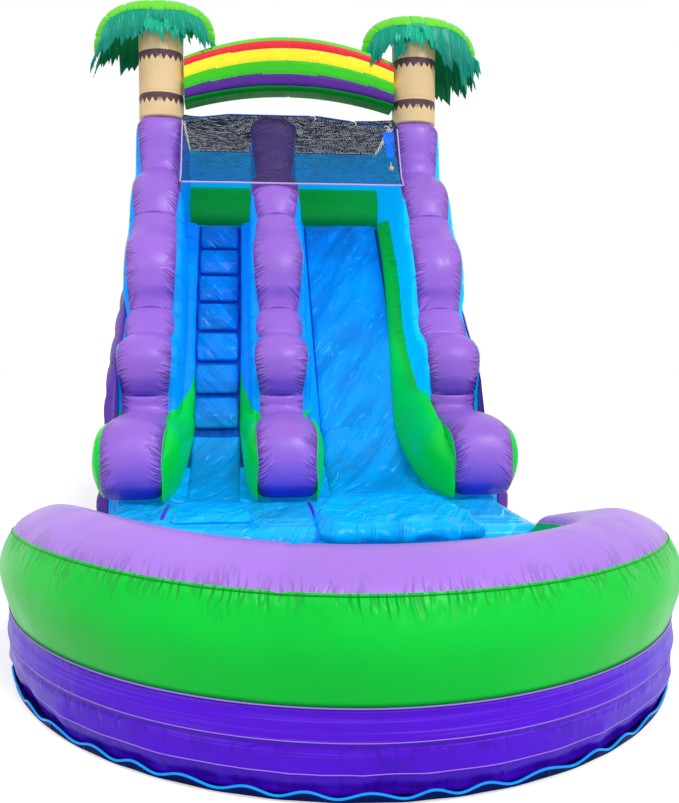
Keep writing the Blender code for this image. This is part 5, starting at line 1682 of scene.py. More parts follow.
@dataclass
class PalmTree:
    """A palm: a tan trunk with printed rings, lime ribs and hanging leaf curtains."""

    tree: str
    side: float
    radius: float = 0.203
    foot_z: float = WALL_TOP + GAP
    top_z: float = 4.435
    sunk: float = 0.045
    crown_z: float = 4.437
    rib_height: float = 0.15
    rib_half: float = 0.212
    dome: float = 0.135
    seed: float = 0.0
    trunk_seams: tuple[float, ...] = (3.755, 4.135, 4.42)
    skirt_sweep: float = math.radians(140)
    skirt_radius: float = 0.206
    leaf_thickness: float = 0.003

    @property
    def centre(self) -> Vector:
        """The trunk's axis on the ground plan."""
        return Vector((self.side * OUTER_WALL_X, COLUMN_Y, 0.0))

    def trunk_spot(self, u: float, v: float) -> Spot:
        """The point and seam facts round and up the trunk.

        Args:
            u: the share of the way across or round it.
            v: the share of the way along or down it.

        Returns:
            The point and the seam facts.
        """
        tall = self.top_z - self.foot_z + self.sunk
        z = self.foot_z - self.sunk + tall * v
        end = min(1.0, (0.012 + (1 - v) * tall) / 0.05) if 0 < v < 1 else 0.0
        seam = min(abs(z - level) for level in self.trunk_seams)
        radius = self.radius * (1 - 0.02 * bump(seam, 0.012)) * math.sqrt(end)
        angle = math.tau * u - math.pi / 2
        radius *= 1 + 0.006 * rough(math.cos(angle) * 2, math.sin(angle) * 2, z * 3)
        point = self.centre + Vector((radius * math.cos(angle), radius * math.sin(angle), z))
        return point, (angle * self.radius + 3, z, 0.0)

    def rib_line(self, kind: str, share: float) -> tuple[Vector, Vector]:
        """The middle of a rib's ridge and its direction in plan at a share of its length.

        Args:
            kind: which rib, outer or arch.
            share: the share of its length.

        Returns:
            The point and the direction.
        """
        reach, drop, azimuth = {
            "outer": (0.61, 0.42, math.pi if self.side < 0 else 0.0),
            "arch": (0.50, 0.30, 0.0 if self.side < 0 else math.pi),
        }[kind]
        out = -0.05 + (reach + 0.05) * math.sin(math.pi / 2 * share)
        ridge = self.crown_z + self.rib_height - (drop + 0.06) * share ** 2.5
        run = Vector((math.cos(azimuth), math.sin(azimuth), 0.0))
        return self.centre + run * out + Vector((0.0, 0.0, ridge)), run

    def half(self, share: float) -> float:
        """Half the width of a rib at a share of its length."""
        return self.rib_half * (1 - 0.74 * share ** 2.0)

    def upright(self, kind: str, share: float) -> Vector:
        """The direction square to a rib's ridge, which turns outwards where the rib droops.

        Args:
            kind: which rib, outer or arch.
            share: the share of its length.

        Returns:
            The direction.
        """
        ahead, run = self.rib_line(kind, min(1.0, share + 0.02))
        behind, _ = self.rib_line(kind, max(0.0, share - 0.02))
        slope = ahead - behind
        along_run, rise = slope.dot(run), slope.z
        return (Vector((0.0, 0.0, along_run)) - run * rise).normalized()

    def rib_spot(self, kind: str, u: float, v: float) -> Spot:
        """The point and seam facts round and along an inflated rib, arched like a roof tile.

        Args:
            kind: which rib, outer or arch.
            u: the share of the way across or round it.
            v: the share of the way along or down it.

        Returns:
            The point and the seam facts.
        """
        share = max(0.0, -0.02 + 1.02 * v)
        ridge, run = self.rib_line(kind, share)
        across = Vector((-run.y, run.x, 0.0))
        segment = (share * 4.0 + 0.5) % 1.0
        gap = min(segment, 1 - segment) / 4.0
        end = math.sqrt(min(1.0, v / 0.02, (1 - v) / 0.05))
        half = self.half(share) * end * (1 - 0.03 * bump(gap, 0.012))
        angle = math.tau * u
        side = math.cos(angle)
        drop = self.dome * (1 - 0.62 * share) * side * side * (0.4 + 0.6 * end)
        thick = 0.060 * math.sin(angle) * end * (1 - 0.6 * share)
        lift = max(0.0, thick) * 0.35 if thick > 0 else thick
        point = ridge + across * half * side
        point += self.upright(kind, share) * (lift - 0.012 - drop - 0.010 * bump(gap, 0.012))
        return point, (share * 0.7 + self.seed, (1 - abs(side)) * half, 0.5)

    def curtain_spot(self, kind: str, face: float, edge: Sequence[Point], flare: float, u: float, v: float) -> Spot:
        """The point and seam facts across and down a leaf curtain that hangs from a rib's edge.

        Args:
            kind: which rib, outer or arch.
            face: the side of the rib that it hangs from, -1 or 1.
            edge: the lower edge's points.
            flare: how far it leans out at its foot.
            u: the share of the way across or round it.
            v: the share of the way along or down it.

        Returns:
            The point and the seam facts.
        """
        share = 0.01 + 0.985 * u
        ridge, run = self.rib_line(kind, share)
        across = Vector((-run.y, run.x, 0.0)) * face
        start = ridge + across * self.half(share) * 0.93
        start -= self.upright(kind, share) * (self.dome * (1 - 0.62 * share) * 0.86 + 0.012)
        low = float(np.interp(u, [t[0] for t in edge], [t[1] for t in edge]))
        length = max(0.03, start.z - low)
        fold = 0.014 * math.sin(u * 40 + self.seed) + 0.022 * rough(u * 6, v * 2, self.seed + face)
        fold += 0.010 * rough(u * 24, v * 3, self.seed - face)
        lean = flare * math.sin(math.pi / 2 * v)
        point = start + across * (lean + fold * v) + run * (0.07 * v * u)
        point.z -= length * v
        return point, (share * 0.7 + self.seed, v * length, 0.0)

    def skirt_spot(self, edge: Sequence[Point], u: float, v: float) -> Spot:
        """The point and seam facts of the short front skirt round the trunk's top.

        Args:
            edge: the lower edge's points.
            u: the share of the way across or round it.
            v: the share of the way along or down it.

        Returns:
            The point and the seam facts.
        """
        angle = -math.pi / 2 + (u - 0.5) * self.skirt_sweep
        low = float(np.interp(u, [t[0] for t in edge], [t[1] for t in edge]))
        start = self.crown_z - 0.01
        fold = 0.012 * math.sin(u * 44) + 0.016 * rough(u * 12, v)
        radius = self.skirt_radius + 0.085 * math.sin(math.pi / 2 * v) + fold * v
        point = self.centre + Vector((radius * math.cos(angle), radius * math.sin(angle), start - (start - low) * v))
        return point, (u * 0.6 + self.seed, v * (start - low), 0.0)

    def jagged(self, tips: Sequence[Point], notch: float, seed: float) -> list[Point]:
        """A torn lower edge as (share, height) points: long tips, small side tips and narrow notches.

        Args:
            tips: the share and height of each long tip.
            notch: how far the notches stand above the tips.
            seed: which of the uneven edges it is.

        Returns:
            The edge's points.
        """
        edge: list[Point] = []
        for i, (at, height) in enumerate(tips):
            before = tips[i - 1][0] if i else 0.0
            width = at - before
            high = height + notch * (1 + 0.4 * rough(i * 1.9, seed))
            edge.append((before + width * 0.12, high))
            edge.append((before + width * 0.36, height + notch * 0.42))
            edge.append((before + width * 0.44, height + notch * 0.80))
            edge.append((at, height))
        return edge

    def build(self) -> None:
        """Makes the trunk, the ribs, the curtains and the skirt."""
        trunk = f"{self.tree}_palm_trunk"
        add_piece(trunk + "_tube", skin(72, 90, self.trunk_spot), [Look.TAN], "tan_vinyl", [trunk])
        front = LEFT_LEAF_TIPS if self.side < 0 else RIGHT_LEAF_TIPS
        low = 0.20 if self.side < 0 else 0.0
        outer = zip(REAR_LEAF_TIPS["outer"], (0.0, low, low, low, low, low / 2, 0.0))
        rear = {**REAR_LEAF_TIPS, "outer": [(at, height + lift) for (at, height), lift in outer]}
        for kind in ("outer", "arch"):
            node = f"{self.tree}_palm_frond_{kind}"
            rib = skin(40, 110, lambda u, v, kind=kind: self.rib_spot(kind, u, v))
            add_piece(node + "_rib", rib, [Look.LIME], "teal_vinyl", [node])
            for face in (-1.0, 1.0):
                run = -1.0 if (self.side < 0) == (kind == "outer") else 1.0
                is_front = face * run < 0
                word = "front" if is_front else "rear"
                edge = self.jagged((front if is_front else rear)[kind], 0.10, self.seed + face)
                flare = 0.055 if is_front else 0.03
                curtain = skin(
                    190, 24, lambda u, v, kind=kind, face=face, edge=edge, flare=flare: self.curtain_spot(
                        kind, face, edge, flare, u, v), wrap=False,
                )
                look = Look.LEAF if is_front else Look.DARK_LEAF
                add_piece(
                    f"{node}_{word}_leaves", curtain, [look], "teal_vinyl", closed=False,
                    thickness=self.leaf_thickness,
                )
        skirt_edge = self.jagged(SKIRT_TIPS, 0.11, self.seed + 3)
        skirt = skin(150, 24, lambda u, v: self.skirt_spot(skirt_edge, u, v), wrap=False)
        add_piece(
            f"{self.tree}_palm_front_skirt", skirt, [Look.PALE_LEAF], "teal_vinyl",
            [f"{self.tree}_palm_frond_front"], closed=False, thickness=self.leaf_thickness,
        )


@dataclass
class RainbowArch:
    """The striped arch between the trunks."""

    depth: float = 0.36
    rounding: float = 0.075
    reach: float = OUTER_WALL_X - 0.204
    edge_reach: float = OUTER_WALL_X - 0.205
    bands: tuple[float, ...] = (0.075, 0.24, 0.475, 0.71, 0.955)

    def edge(self, x: float, end_height: float, rise: float) -> float:
        """The height of the under or upper edge at x."""
        share = min(1.0, abs(x) / self.edge_reach)
        return WALL_TOP + end_height + rise * (1 - share * share)

    def around(self, u: float, tall: float) -> Point:
        """A point (y, z) of the section's square outline, from its middle.

        Args:
            u: the share of the way across or round it.
            tall: the section's height.

        Returns:
            The point.
        """
        half_y, half_z = self.depth / 2, tall / 2
        mark = u * 2 * (tall + self.depth)
        if mark < tall:
            return -half_y, half_z - mark
        if mark < tall + self.depth:
            return -half_y + (mark - tall), -half_z
        if mark < 2 * tall + self.depth:
            return half_y, -half_z + (mark - tall - self.depth)
        return half_y - (mark - 2 * tall - self.depth), half_z

    def levels(self, x: float) -> Point:
        """The heights of the under and upper edge at x."""
        return self.edge(x, 0.085, 0.145), self.edge(x, 0.505, 0.21)

    def spot(self, u: float, v: float) -> Spot:
        """The point and seam facts round and along the arch.

        Args:
            u: the share of the way across or round it.
            v: the share of the way along or down it.

        Returns:
            The point and the seam facts.
        """
        x = self.reach * (2 * v - 1)
        low, high = self.levels(x)
        tall = high - low
        half_y, half_z = self.depth / 2, tall / 2
        y, z = self.around(u, tall)
        r = self.rounding
        core = Vector((min(max(y, r - half_y), half_y - r), min(max(z, r - half_z), half_z - r)))
        away = Vector((y, z)) - core
        out = away.normalized() if away.length > 1e-6 else Vector((0.0, 1.0))
        share = 0.5 - z / tall
        gaps = [abs(share - band) * tall for band in self.bands]
        middle = abs(x)
        pull = max(bump(min(gaps), 0.012) * (1.0 if abs(y) >= half_y - 0.02 else 0.0), bump(middle, 0.012))
        point = core + out * (r - 0.006 * pull)
        end = min(1.0, v / 0.004, (1 - v) / 0.004)
        facts = (x + 5, min(min(gaps), middle + 0.02), 0.25)
        return Vector((x, COLUMN_Y + point.x * end, (low + high) / 2 + point.y * end)), facts

    def paint(self, u: float, v: float) -> int:
        """The stripe's number at a place round the arch.

        Args:
            u: the share of the way across or round it.
            v: the share of the way along or down it.

        Returns:
            The number.
        """
        low, high = self.levels(self.reach * (2 * v - 1))
        _, z = self.around(u, high - low)
        return sum(1 for band in self.bands if 0.5 - z / (high - low) > band)

    def build(self) -> None:
        """Makes the arch."""
        looks = [Look.LIME, Look.RED, Look.YELLOW, Look.ARCH_GREEN, Look.ARCH_PURPLE, Look.ARCH_UNDER]
        add_piece("rainbow_arch_tube", skin(170, 170, self.spot, self.paint), looks, "rainbow_vinyl", ["rainbow_arch"])


@dataclass
class SafetyNets:
    """The net hung before the platform, the net over it, their hems and ties."""

    top_y: float = 2.55
    top_z: float = 3.541
    rest: Point = (2.2431, 2.9565)
    hem: Point = (2.1181, 2.8565)
    half: float = WALL_FACE - 0.001

    def top(self, x: float) -> Point:
        """The front net's top edge at x.

        Args:
            x: the place across the slide.

        Returns:
            The point (y, z).
        """
        away = max(0.0, abs(x - CENTRE_WALL_X) - 0.40) / WALL_FACE
        share = 0.14 * away / (self.top_z - self.rest[1])
        return (
            self.top_y + (self.rest[0] - self.top_y) * share, self.top_z + (self.rest[1] - self.top_z) * share,
        )

    def front_spot(self, u: float, v: float) -> Spot:
        """The point and facts of the front net.

        Args:
            u: the share of the way across or round it.
            v: the share of the way along or down it.

        Returns:
            The point and the seam facts.
        """
        x = self.half * (2 * u - 1)
        top = self.top(x)
        bend = 0.80
        if v < bend:
            t = v / bend
            y, z = top[0] + (self.rest[0] - top[0]) * t, top[1] + (self.rest[1] - top[1]) * t
        else:
            t = (v - bend) / (1 - bend)
            y, z = self.rest[0] + (self.hem[0] - self.rest[0]) * t, self.rest[1] + (self.hem[1] - self.rest[1]) * t
        over_wall = ease(abs(x - CENTRE_WALL_X), 0.20, 0.36)
        sway = 0.018 * rough(x * 3, v * 2, 7.0) * over_wall
        droop = 0.012 * math.sin(math.pi * v) * over_wall
        return Vector((x, y - 0.002 - abs(sway), z - droop)), (x, v * 0.78, 0.0)

    def roof_spot(self, u: float, v: float) -> Spot:
        """The point and facts of the net over the platform.

        Args:
            u: the share of the way across or round it.
            v: the share of the way along or down it.

        Returns:
            The point and the seam facts.
        """
        x = self.half * (2 * u - 1)
        front = self.top(x)
        path = Line([front, (2.758, 3.5805), (3.064, 3.5805), (3.84, 3.5225), (4.0, 3.5225)], 1)
        y, z = path.at(v * path.length)
        over_wall = ease(abs(x - CENTRE_WALL_X), 0.20, 0.36) if y < 3.3 else 1.0
        sag = 0.05 * math.sin(math.pi * min(1.0, max(0.0, (y - 2.55) / 1.29))) * over_wall * (1 - (x / self.half) ** 4)
        return Vector((x, y, z - sag + 0.002)), (x, v * path.length, 0.0)

    def build(self) -> None:
        """Makes the nets, their hems and the white ties."""
        front = add_piece(
            "front_net_mesh", skin(90, 50, self.front_spot, wrap=False), [Look.NET], "black_net", ["front_net"],
            closed=False,
        )
        roof = add_piece(
            "roof_net_mesh", skin(90, 70, self.roof_spot, wrap=False), [Look.ROOF_NET], "black_net", ["roof_net"],
            closed=False,
        )
        steps = np.linspace(0, 1, 80)
        edges = {
            "hem": (Look.PALE_LILAC, 0.009, [(t, 1.0) for t in steps]),
            "left_edge": (Look.PALE_LILAC, 0.007, [(0.002, t) for t in steps]),
            "right_edge": (Look.PALE_LILAC, 0.007, [(0.998, t) for t in steps]),
            "top_band": (Look.DARK_BLUE_AND_GAP_SHADE, 0.007, [(t, 0.0) for t in steps]),
        }
        for word, (look, radius, places) in edges.items():
            piping(f"front_net_{word}", [self.front_spot(*spot)[0] for spot in places], radius, look, "black_net")
        for index, u in enumerate((0.60, 0.79, 0.945)):
            hook = self.front_spot(u, 0.0)[0]
            loop = [
                hook + Vector((0.03 * math.cos(a), -0.014, -0.022 + 0.022 * math.sin(a)))
                for a in np.linspace(math.pi * 0.75, -math.pi * 0.55, 16)
            ]
            piping(f"net_tie_{index + 1}", loop, 0.0045, Look.WHITE, "black_net")
        area = 2 * self.half * 0.78


@dataclass
class Pool:
    """The splash pool: a tall front tube in purple and green over a violet one, on a scalloped ground sheet."""

    side_x: float = 0.008
    centre_y: float = -1.59
    half_width: float = 1.55
    front_reach: float = 1.867
    rear_reach: float = 1.52
    power: float = 2 / 1.95
    end_angle: float = math.radians(27.0)
    split_z: float = 0.302
    stations: int = 200
    end_dome: float = 0.05
    end_y: float = BED_FRONT_Y - GAP
    round_length: float = 5.2
    floor_z: float = 0.0053
    sheet_tuck: float = 0.05
    welt_steps: int = 260
    upper_shares: tuple[Point, ...] = (
        (0.08, 0.00), (0.00, 0.41), (0.10, 0.75), (0.28, 0.93), (0.52, 1.00), (0.76, 0.88), (0.93, 0.60),
        (1.00, 0.30), (0.94, 0.00),
    )
    lower_shares: tuple[Point, ...] = (
        (0.16, 0.00), (0.09, 0.30), (0.06, 0.65), (0.08, 1.00), (0.94, 1.00), (0.98, 0.60), (0.94, 0.00),
    )

    def plan(self, angle: float, inset: float) -> Point:
        """A point of the plan, an inset inside its outer line.

        Args:
            angle: the angle round the pool.
            inset: the distance inside the outer line.

        Returns:
            The point (x, y).
        """
        cos, sin = math.cos(angle), math.sin(angle)
        reach = self.front_reach if sin >= 0 else self.rear_reach
        x = math.copysign(abs(cos) ** self.power, cos) * (self.half_width - inset)
        y = math.copysign(abs(sin) ** self.power, sin) * (reach - inset if sin >= 0 else reach)
        return self.side_x + x, self.centre_y - y

    def angle(self, v: float) -> float:
        """The angle round the plan at a share of the tube's length."""
        return -self.end_angle + (math.pi + 2 * self.end_angle) * v

    def taper(self, angle: float, length: float) -> float:
        """0 at a tube's end, 1 past the taper's length."""
        share = min(1.0, max(0.0, (BED_FRONT_Y - self.plan(angle, 0.0)[1]) / length))
        return share * (2 - share)

    def ring_point(self, angle: float, inset: float, rise: float, low: float, high: float) -> Vector:
        """A point of a tube's section.

        Args:
            angle: the angle round the pool.
            inset: the share of the tube's width, inwards.
            rise: the share of the way up.
            low: the tube's lowest height.
            high: the tube's highest height.

        Returns:
            The point.
        """
        width = 0.25 + 0.29 * self.taper(angle, 1.55)
        x, y = self.plan(angle, inset * width)
        return Vector((x, y, low + (high - low) * rise))

    def top_height(self, angle: float) -> float:
        """The upper tube's height at an angle.

        Args:
            angle: the angle round the pool.

        Returns:
            The height.
        """
        cos = math.cos(angle)
        lean = -0.04 * cos * abs(cos) if cos < 0 else -0.02 * cos * cos
        return 0.47 + 0.285 * self.taper(angle, 2.2) + lean

    def upper_spot(self, u: float, v: float) -> Spot:
        """The point and facts round and along the upper tube.

        Args:
            u: the share of the way across or round it.
            v: the share of the way along or down it.

        Returns:
            The point and the seam facts.
        """
        angle = self.angle(v)
        share = self.upper_line.length * u
        inset, rise = self.upper_line.at(share)
        low = self.split_z + GAP
        point = self.ring_point(angle, inset, rise, low, self.top_height(angle))
        away = min(abs(share - self.seam_out), abs(share - self.seam_in)) * 0.50
        strength = 0.9 if share < self.seam_in - 0.2 else 0.5
        run = v * self.round_length
        panel = abs(v * 9.0 - 5.05)
        if panel < 0.3:
            pull = bump(panel * 0.6, 0.012)
            point -= Vector((0, 0, 0.010 * pull * ease(rise, 0.5, 0.9)))
        pull = bump(away, 0.010)
        centre = self.ring_point(angle, 0.5, 0.45, low, self.top_height(angle))
        point = point + (centre - point) * 0.035 * pull
        fade = ease(v, 0.05, 0.5)
        return point, (run, away, strength * (1.05 - 0.35 * fade))

    def upper_paint(self, u: float, v: float) -> int:
        """0 for the purple top, 1 for the green sides."""
        share = self.upper_line.length * u
        return 0 if self.seam_out < share < self.seam_in else 1

    def lower_spot(self, u: float, v: float) -> Spot:
        """The point and facts round and along the lower tube.

        Args:
            u: the share of the way across or round it.
            v: the share of the way along or down it.

        Returns:
            The point and the seam facts.
        """
        angle = self.angle(v)
        inset, rise = self.lower_line.at(self.lower_line.length * u)
        outer = inset < 0.5
        run = v * self.round_length
        away = 0.6
        if outer and rise < 0.999:
            skirt = ease(0.52 - rise, 0.0, 0.3)
            fold = rough(run * 3.2, 0.0, 3.0) * 0.022 + abs(rough(run * 5.2, 0.0, 5.0)) * 0.030
            inset += (fold - 0.012) * skirt * 1.5
            for level, depth in ((0.58, 0.020), (0.90, 0.012), (0.12, 0.012)):
                inset += depth * bump((rise - level) * 0.3, 0.008)
            away = min(abs(rise - 0.58), abs(rise - 0.12), abs(rise - 1.0)) * 0.30
        point = self.ring_point(angle, inset, rise, self.floor_z, self.split_z)
        return point, (run + 7, away, 0.6 if rise < 0.58 else 0.25)

    def closed_tube(self, shape: bmesh.types.BMesh) -> bmesh.types.BMesh:
        """Cuts a tube off short of the bed and closes both ends with a soft dome that leans on the bed.

        Args:
            shape: the open tube.

        Returns:
            The same shape, closed.
        """
        everything = shape.verts[:] + shape.edges[:] + shape.faces[:]
        bmesh.ops.bisect_plane(
            shape, geom=everything, plane_co=(0.0, self.end_y - self.end_dome, 0.0), plane_no=(0.0, 1.0, 0.0),
            clear_outer=True,
        )
        for side in (-1.0, 1.0):
            rim = [e for e in shape.edges if e.is_boundary and (e.verts[0].co.x - self.side_x) * side > 0]
            size = 1.0
            for step in range(1, 9):
                lean = math.pi / 2 * step / 8
                made = bmesh.ops.extrude_edge_only(shape, edges=rim)["geom"]
                verts = [item for item in made if isinstance(item, bmesh.types.BMVert)]
                rim = [item for item in made if isinstance(item, bmesh.types.BMEdge)]
                middle = sum((vert.co for vert in verts), Vector()) / len(verts)
                target = max(0.02, math.cos(lean) ** 0.6)
                for vert in verts:
                    vert.co = middle + (vert.co - middle) * target / size
                    vert.co.y = self.end_y - self.end_dome * (1 - math.sin(lean))
                size = target
            bmesh.ops.holes_fill(shape, edges=rim, sides=0)
        return shape

    def seam_points(self, inset: float, rise: float, upper: bool = True) -> list[Vector]:
        """Points along a seam of a tube.

        Args:
            inset: the share of the tube's width, inwards.
            rise: the share of the way up.
            upper: whether it is the upper tube.

        Returns:
            The points, in order.
        """
        points = []
        for i in range(self.welt_steps + 1):
            angle = self.angle(i / self.welt_steps)
            low, high = (self.split_z + GAP, self.top_height(angle)) if upper else (self.floor_z, self.split_z)
            point = self.ring_point(angle, inset, rise, low, high)
            if point.y < self.end_y - 0.004:
                points.append(point)
        return points

    def sheet_spot(self, u: float, v: float) -> Spot:
        """The point and facts of the ground sheet, whose rim is drawn up in scallops round the pool.

        Args:
            u: the share of the way across or round it.
            v: the share of the way along or down it.

        Returns:
            The point and the seam facts.
        """
        angle = self.angle(u)
        run = u * self.round_length
        wave = self.scallop(run)
        spread = v * v
        rim = max(0.0, 1 - spread / 0.02)
        x, y = self.plan(angle, 0.052 - 0.006 * wave * rim)
        spot = Vector((x, min(y, self.end_y), 0.0))
        centre = Vector((self.side_x, self.end_y + self.sheet_tuck, 0.0))
        point = spot.lerp(centre, max(0.0, spread - 0.02) / 0.98)
        point.z = 0.004 + rim * (0.012 + 0.022 * wave)
        point.y += self.sheet_tuck * (1 - ease(min(u, 1 - u), 0.0, 0.004)) * ease(v, 0.34, 0.40)
        return point, (run, spread * 1.5, 0.3)

    def scallop(self, run: float) -> float:
        """The height share of the ground sheet's scalloped rim at a length round the pool."""
        return 0.5 + 0.5 * math.sin(run * 36 + 5 * rough(run * 1.9, 1.0))

    def build(self) -> None:
        """Makes both tubes, their welts and the ground sheet."""
        self.upper_line = Line(self.upper_shares + (self.upper_shares[0],), 6)
        self.lower_line = Line(self.lower_shares + (self.lower_shares[0],), 1)
        marks = [self.lower_line.mark_near(point) for point in ((0.063, 0.58), (0.09, 0.30))]
        self.skirt_seams = [mark / self.lower_line.length for mark in marks]
        self.seam_out = self.upper_line.mark_near((0.108, 0.755))
        self.seam_in = self.upper_line.mark_near((0.88, 0.70))
        upper = self.closed_tube(skin(64, self.stations, self.upper_spot, self.upper_paint))
        add_piece(
            "pool_upper_tube_skin", upper, [Look.POOL_PURPLE, Look.POOL_GREEN], "green_vinyl", ["pool_upper_tube"],
        )
        lower = self.closed_tube(skin(80, self.stations * 2, self.lower_spot))
        add_piece("pool_lower_tube_skin", lower, [Look.VIOLET], "purple_vinyl", ["pool_lower_tube"])
        outer = self.seam_points(*self.upper_line.at(self.seam_out))
        piping("pool_outer_welt", outer, 0.0022, Look.ARCH_UNDER, "green_vinyl")
        inner = self.seam_points(*self.upper_line.at(self.seam_in))
        piping("pool_inner_welt", inner, 0.0026, Look.MINT, "green_vinyl")
        middle = self.seam_points(0.072, 1.0, upper=False)
        piping("pool_middle_welt", middle, 0.0028, Look.POOL_PURPLE, "purple_vinyl")
        for index, share in enumerate(self.skirt_seams):
            line = [self.lower_spot(share, i / 400)[0] for i in range(401)]
            line = [spot for spot in line if spot.y < self.end_y - self.end_dome]
            piping(f"pool_skirt_welt_{index + 1}", line, 0.0018, Look.POOL_PURPLE, "purple_vinyl")
        sheet = add_piece(
            "ground_sheet_film", skin(560, 60, self.sheet_spot), [Look.SHEET_AND_PAINTED_SHADOW], "blue_vinyl", ["ground_sheet"],
            closed=False, thickness=0.002,
        )
        rim = [self.sheet_spot(i / 520, 0.0)[0] for i in range(521)]
        rim = [point for point in rim if point.y < self.end_y - 0.01]
        piping("ground_sheet_binding", rim, 0.0042, Look.BLUE, "blue_vinyl")


@dataclass
class HangingTie:
    """The crumpled blue strap on the front net, with a ball on its cord."""

    top: tuple[float, float, float] = (0.88, 2.466, 3.398)
    foot: tuple[float, float, float] = (0.88, 2.298, 3.13)
    ball_radius: float = 0.0235
    ball_reach: float = 0.0245
    cord_radius: float = 0.0045
    strap_half: float = 0.056
    strap_thick: float = 0.004

    def spot(self, u: float, v: float) -> Spot:
        """The point and facts round and down the strap.

        Args:
            u: the share of the way across or round it.
            v: the share of the way along or down it.

        Returns:
            The point and the seam facts.
        """
        start, end = Vector(self.top), Vector(self.foot)
        middle = start.lerp(end, v)
        half = self.strap_half * (1 - 0.5 * v) * (1 + 0.3 * rough(v * 5, 2.0))
        angle = math.tau * u
        side = math.cos(angle)
        thick = self.strap_thick * math.sin(angle)
        crumple = 0.012 * math.sin(side * 7 + v * 9) * math.sin(math.pi * min(1.0, v + 0.15))
        crumple += 0.006 * rough(side * 3, v * 12)
        close = 0.0 if v in (0.0, 1.0) else 1.0
        out = (thick - abs(crumple)) * close
        return Vector((middle.x + side * half * close, middle.y + out - 0.004, middle.z + 0.2 * out)), (
            side * half, v * 0.3, 0.8)

    def build(self) -> None:
        """Makes the strap, the cord and the ball."""
        strap = skin(40, 60, self.spot)
        add_piece("hanging_tie_strap", strap, [Look.TIE], "blue_vinyl", ["hanging_tie"], body="tie")
        low, high = (Vector(corner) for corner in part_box("tie_ball"))
        shape = bmesh.new()
        bmesh.ops.create_uvsphere(shape, u_segments=28, v_segments=18, radius=self.ball_radius)
        centre = Vector(((low.x + high.x) / 2, low.y + self.ball_reach, low.z + self.ball_reach))
        bmesh.ops.translate(shape, vec=centre, verts=shape.verts)
        cord = bmesh.new()
        bmesh.ops.create_cone(
            cord, cap_ends=True, segments=10, radius1=self.cord_radius, radius2=self.cord_radius, depth=1.0,
        )
        cord_top = Vector((self.top[0], high.y - 0.004, high.z - 0.001))
        span = cord_top - centre
        bmesh.ops.scale(cord, vec=(1, 1, span.length), verts=cord.verts)
        bmesh.ops.rotate(cord, cent=(0, 0, 0), matrix=span.to_track_quat("Z", "Y").to_matrix(), verts=cord.verts)
        bmesh.ops.translate(cord, vec=(cord_top + centre) / 2, verts=cord.verts)
        joined = bpy.data.meshes.new("tie_cord_mesh")
        cord.to_mesh(joined)
        cord.free()
        shape.from_mesh(joined)
        bpy.data.meshes.remove(joined)
        add_piece("tie_ball_bead", shape, [Look.CREAM], "tan_vinyl", ["tie_ball"], body="tie")


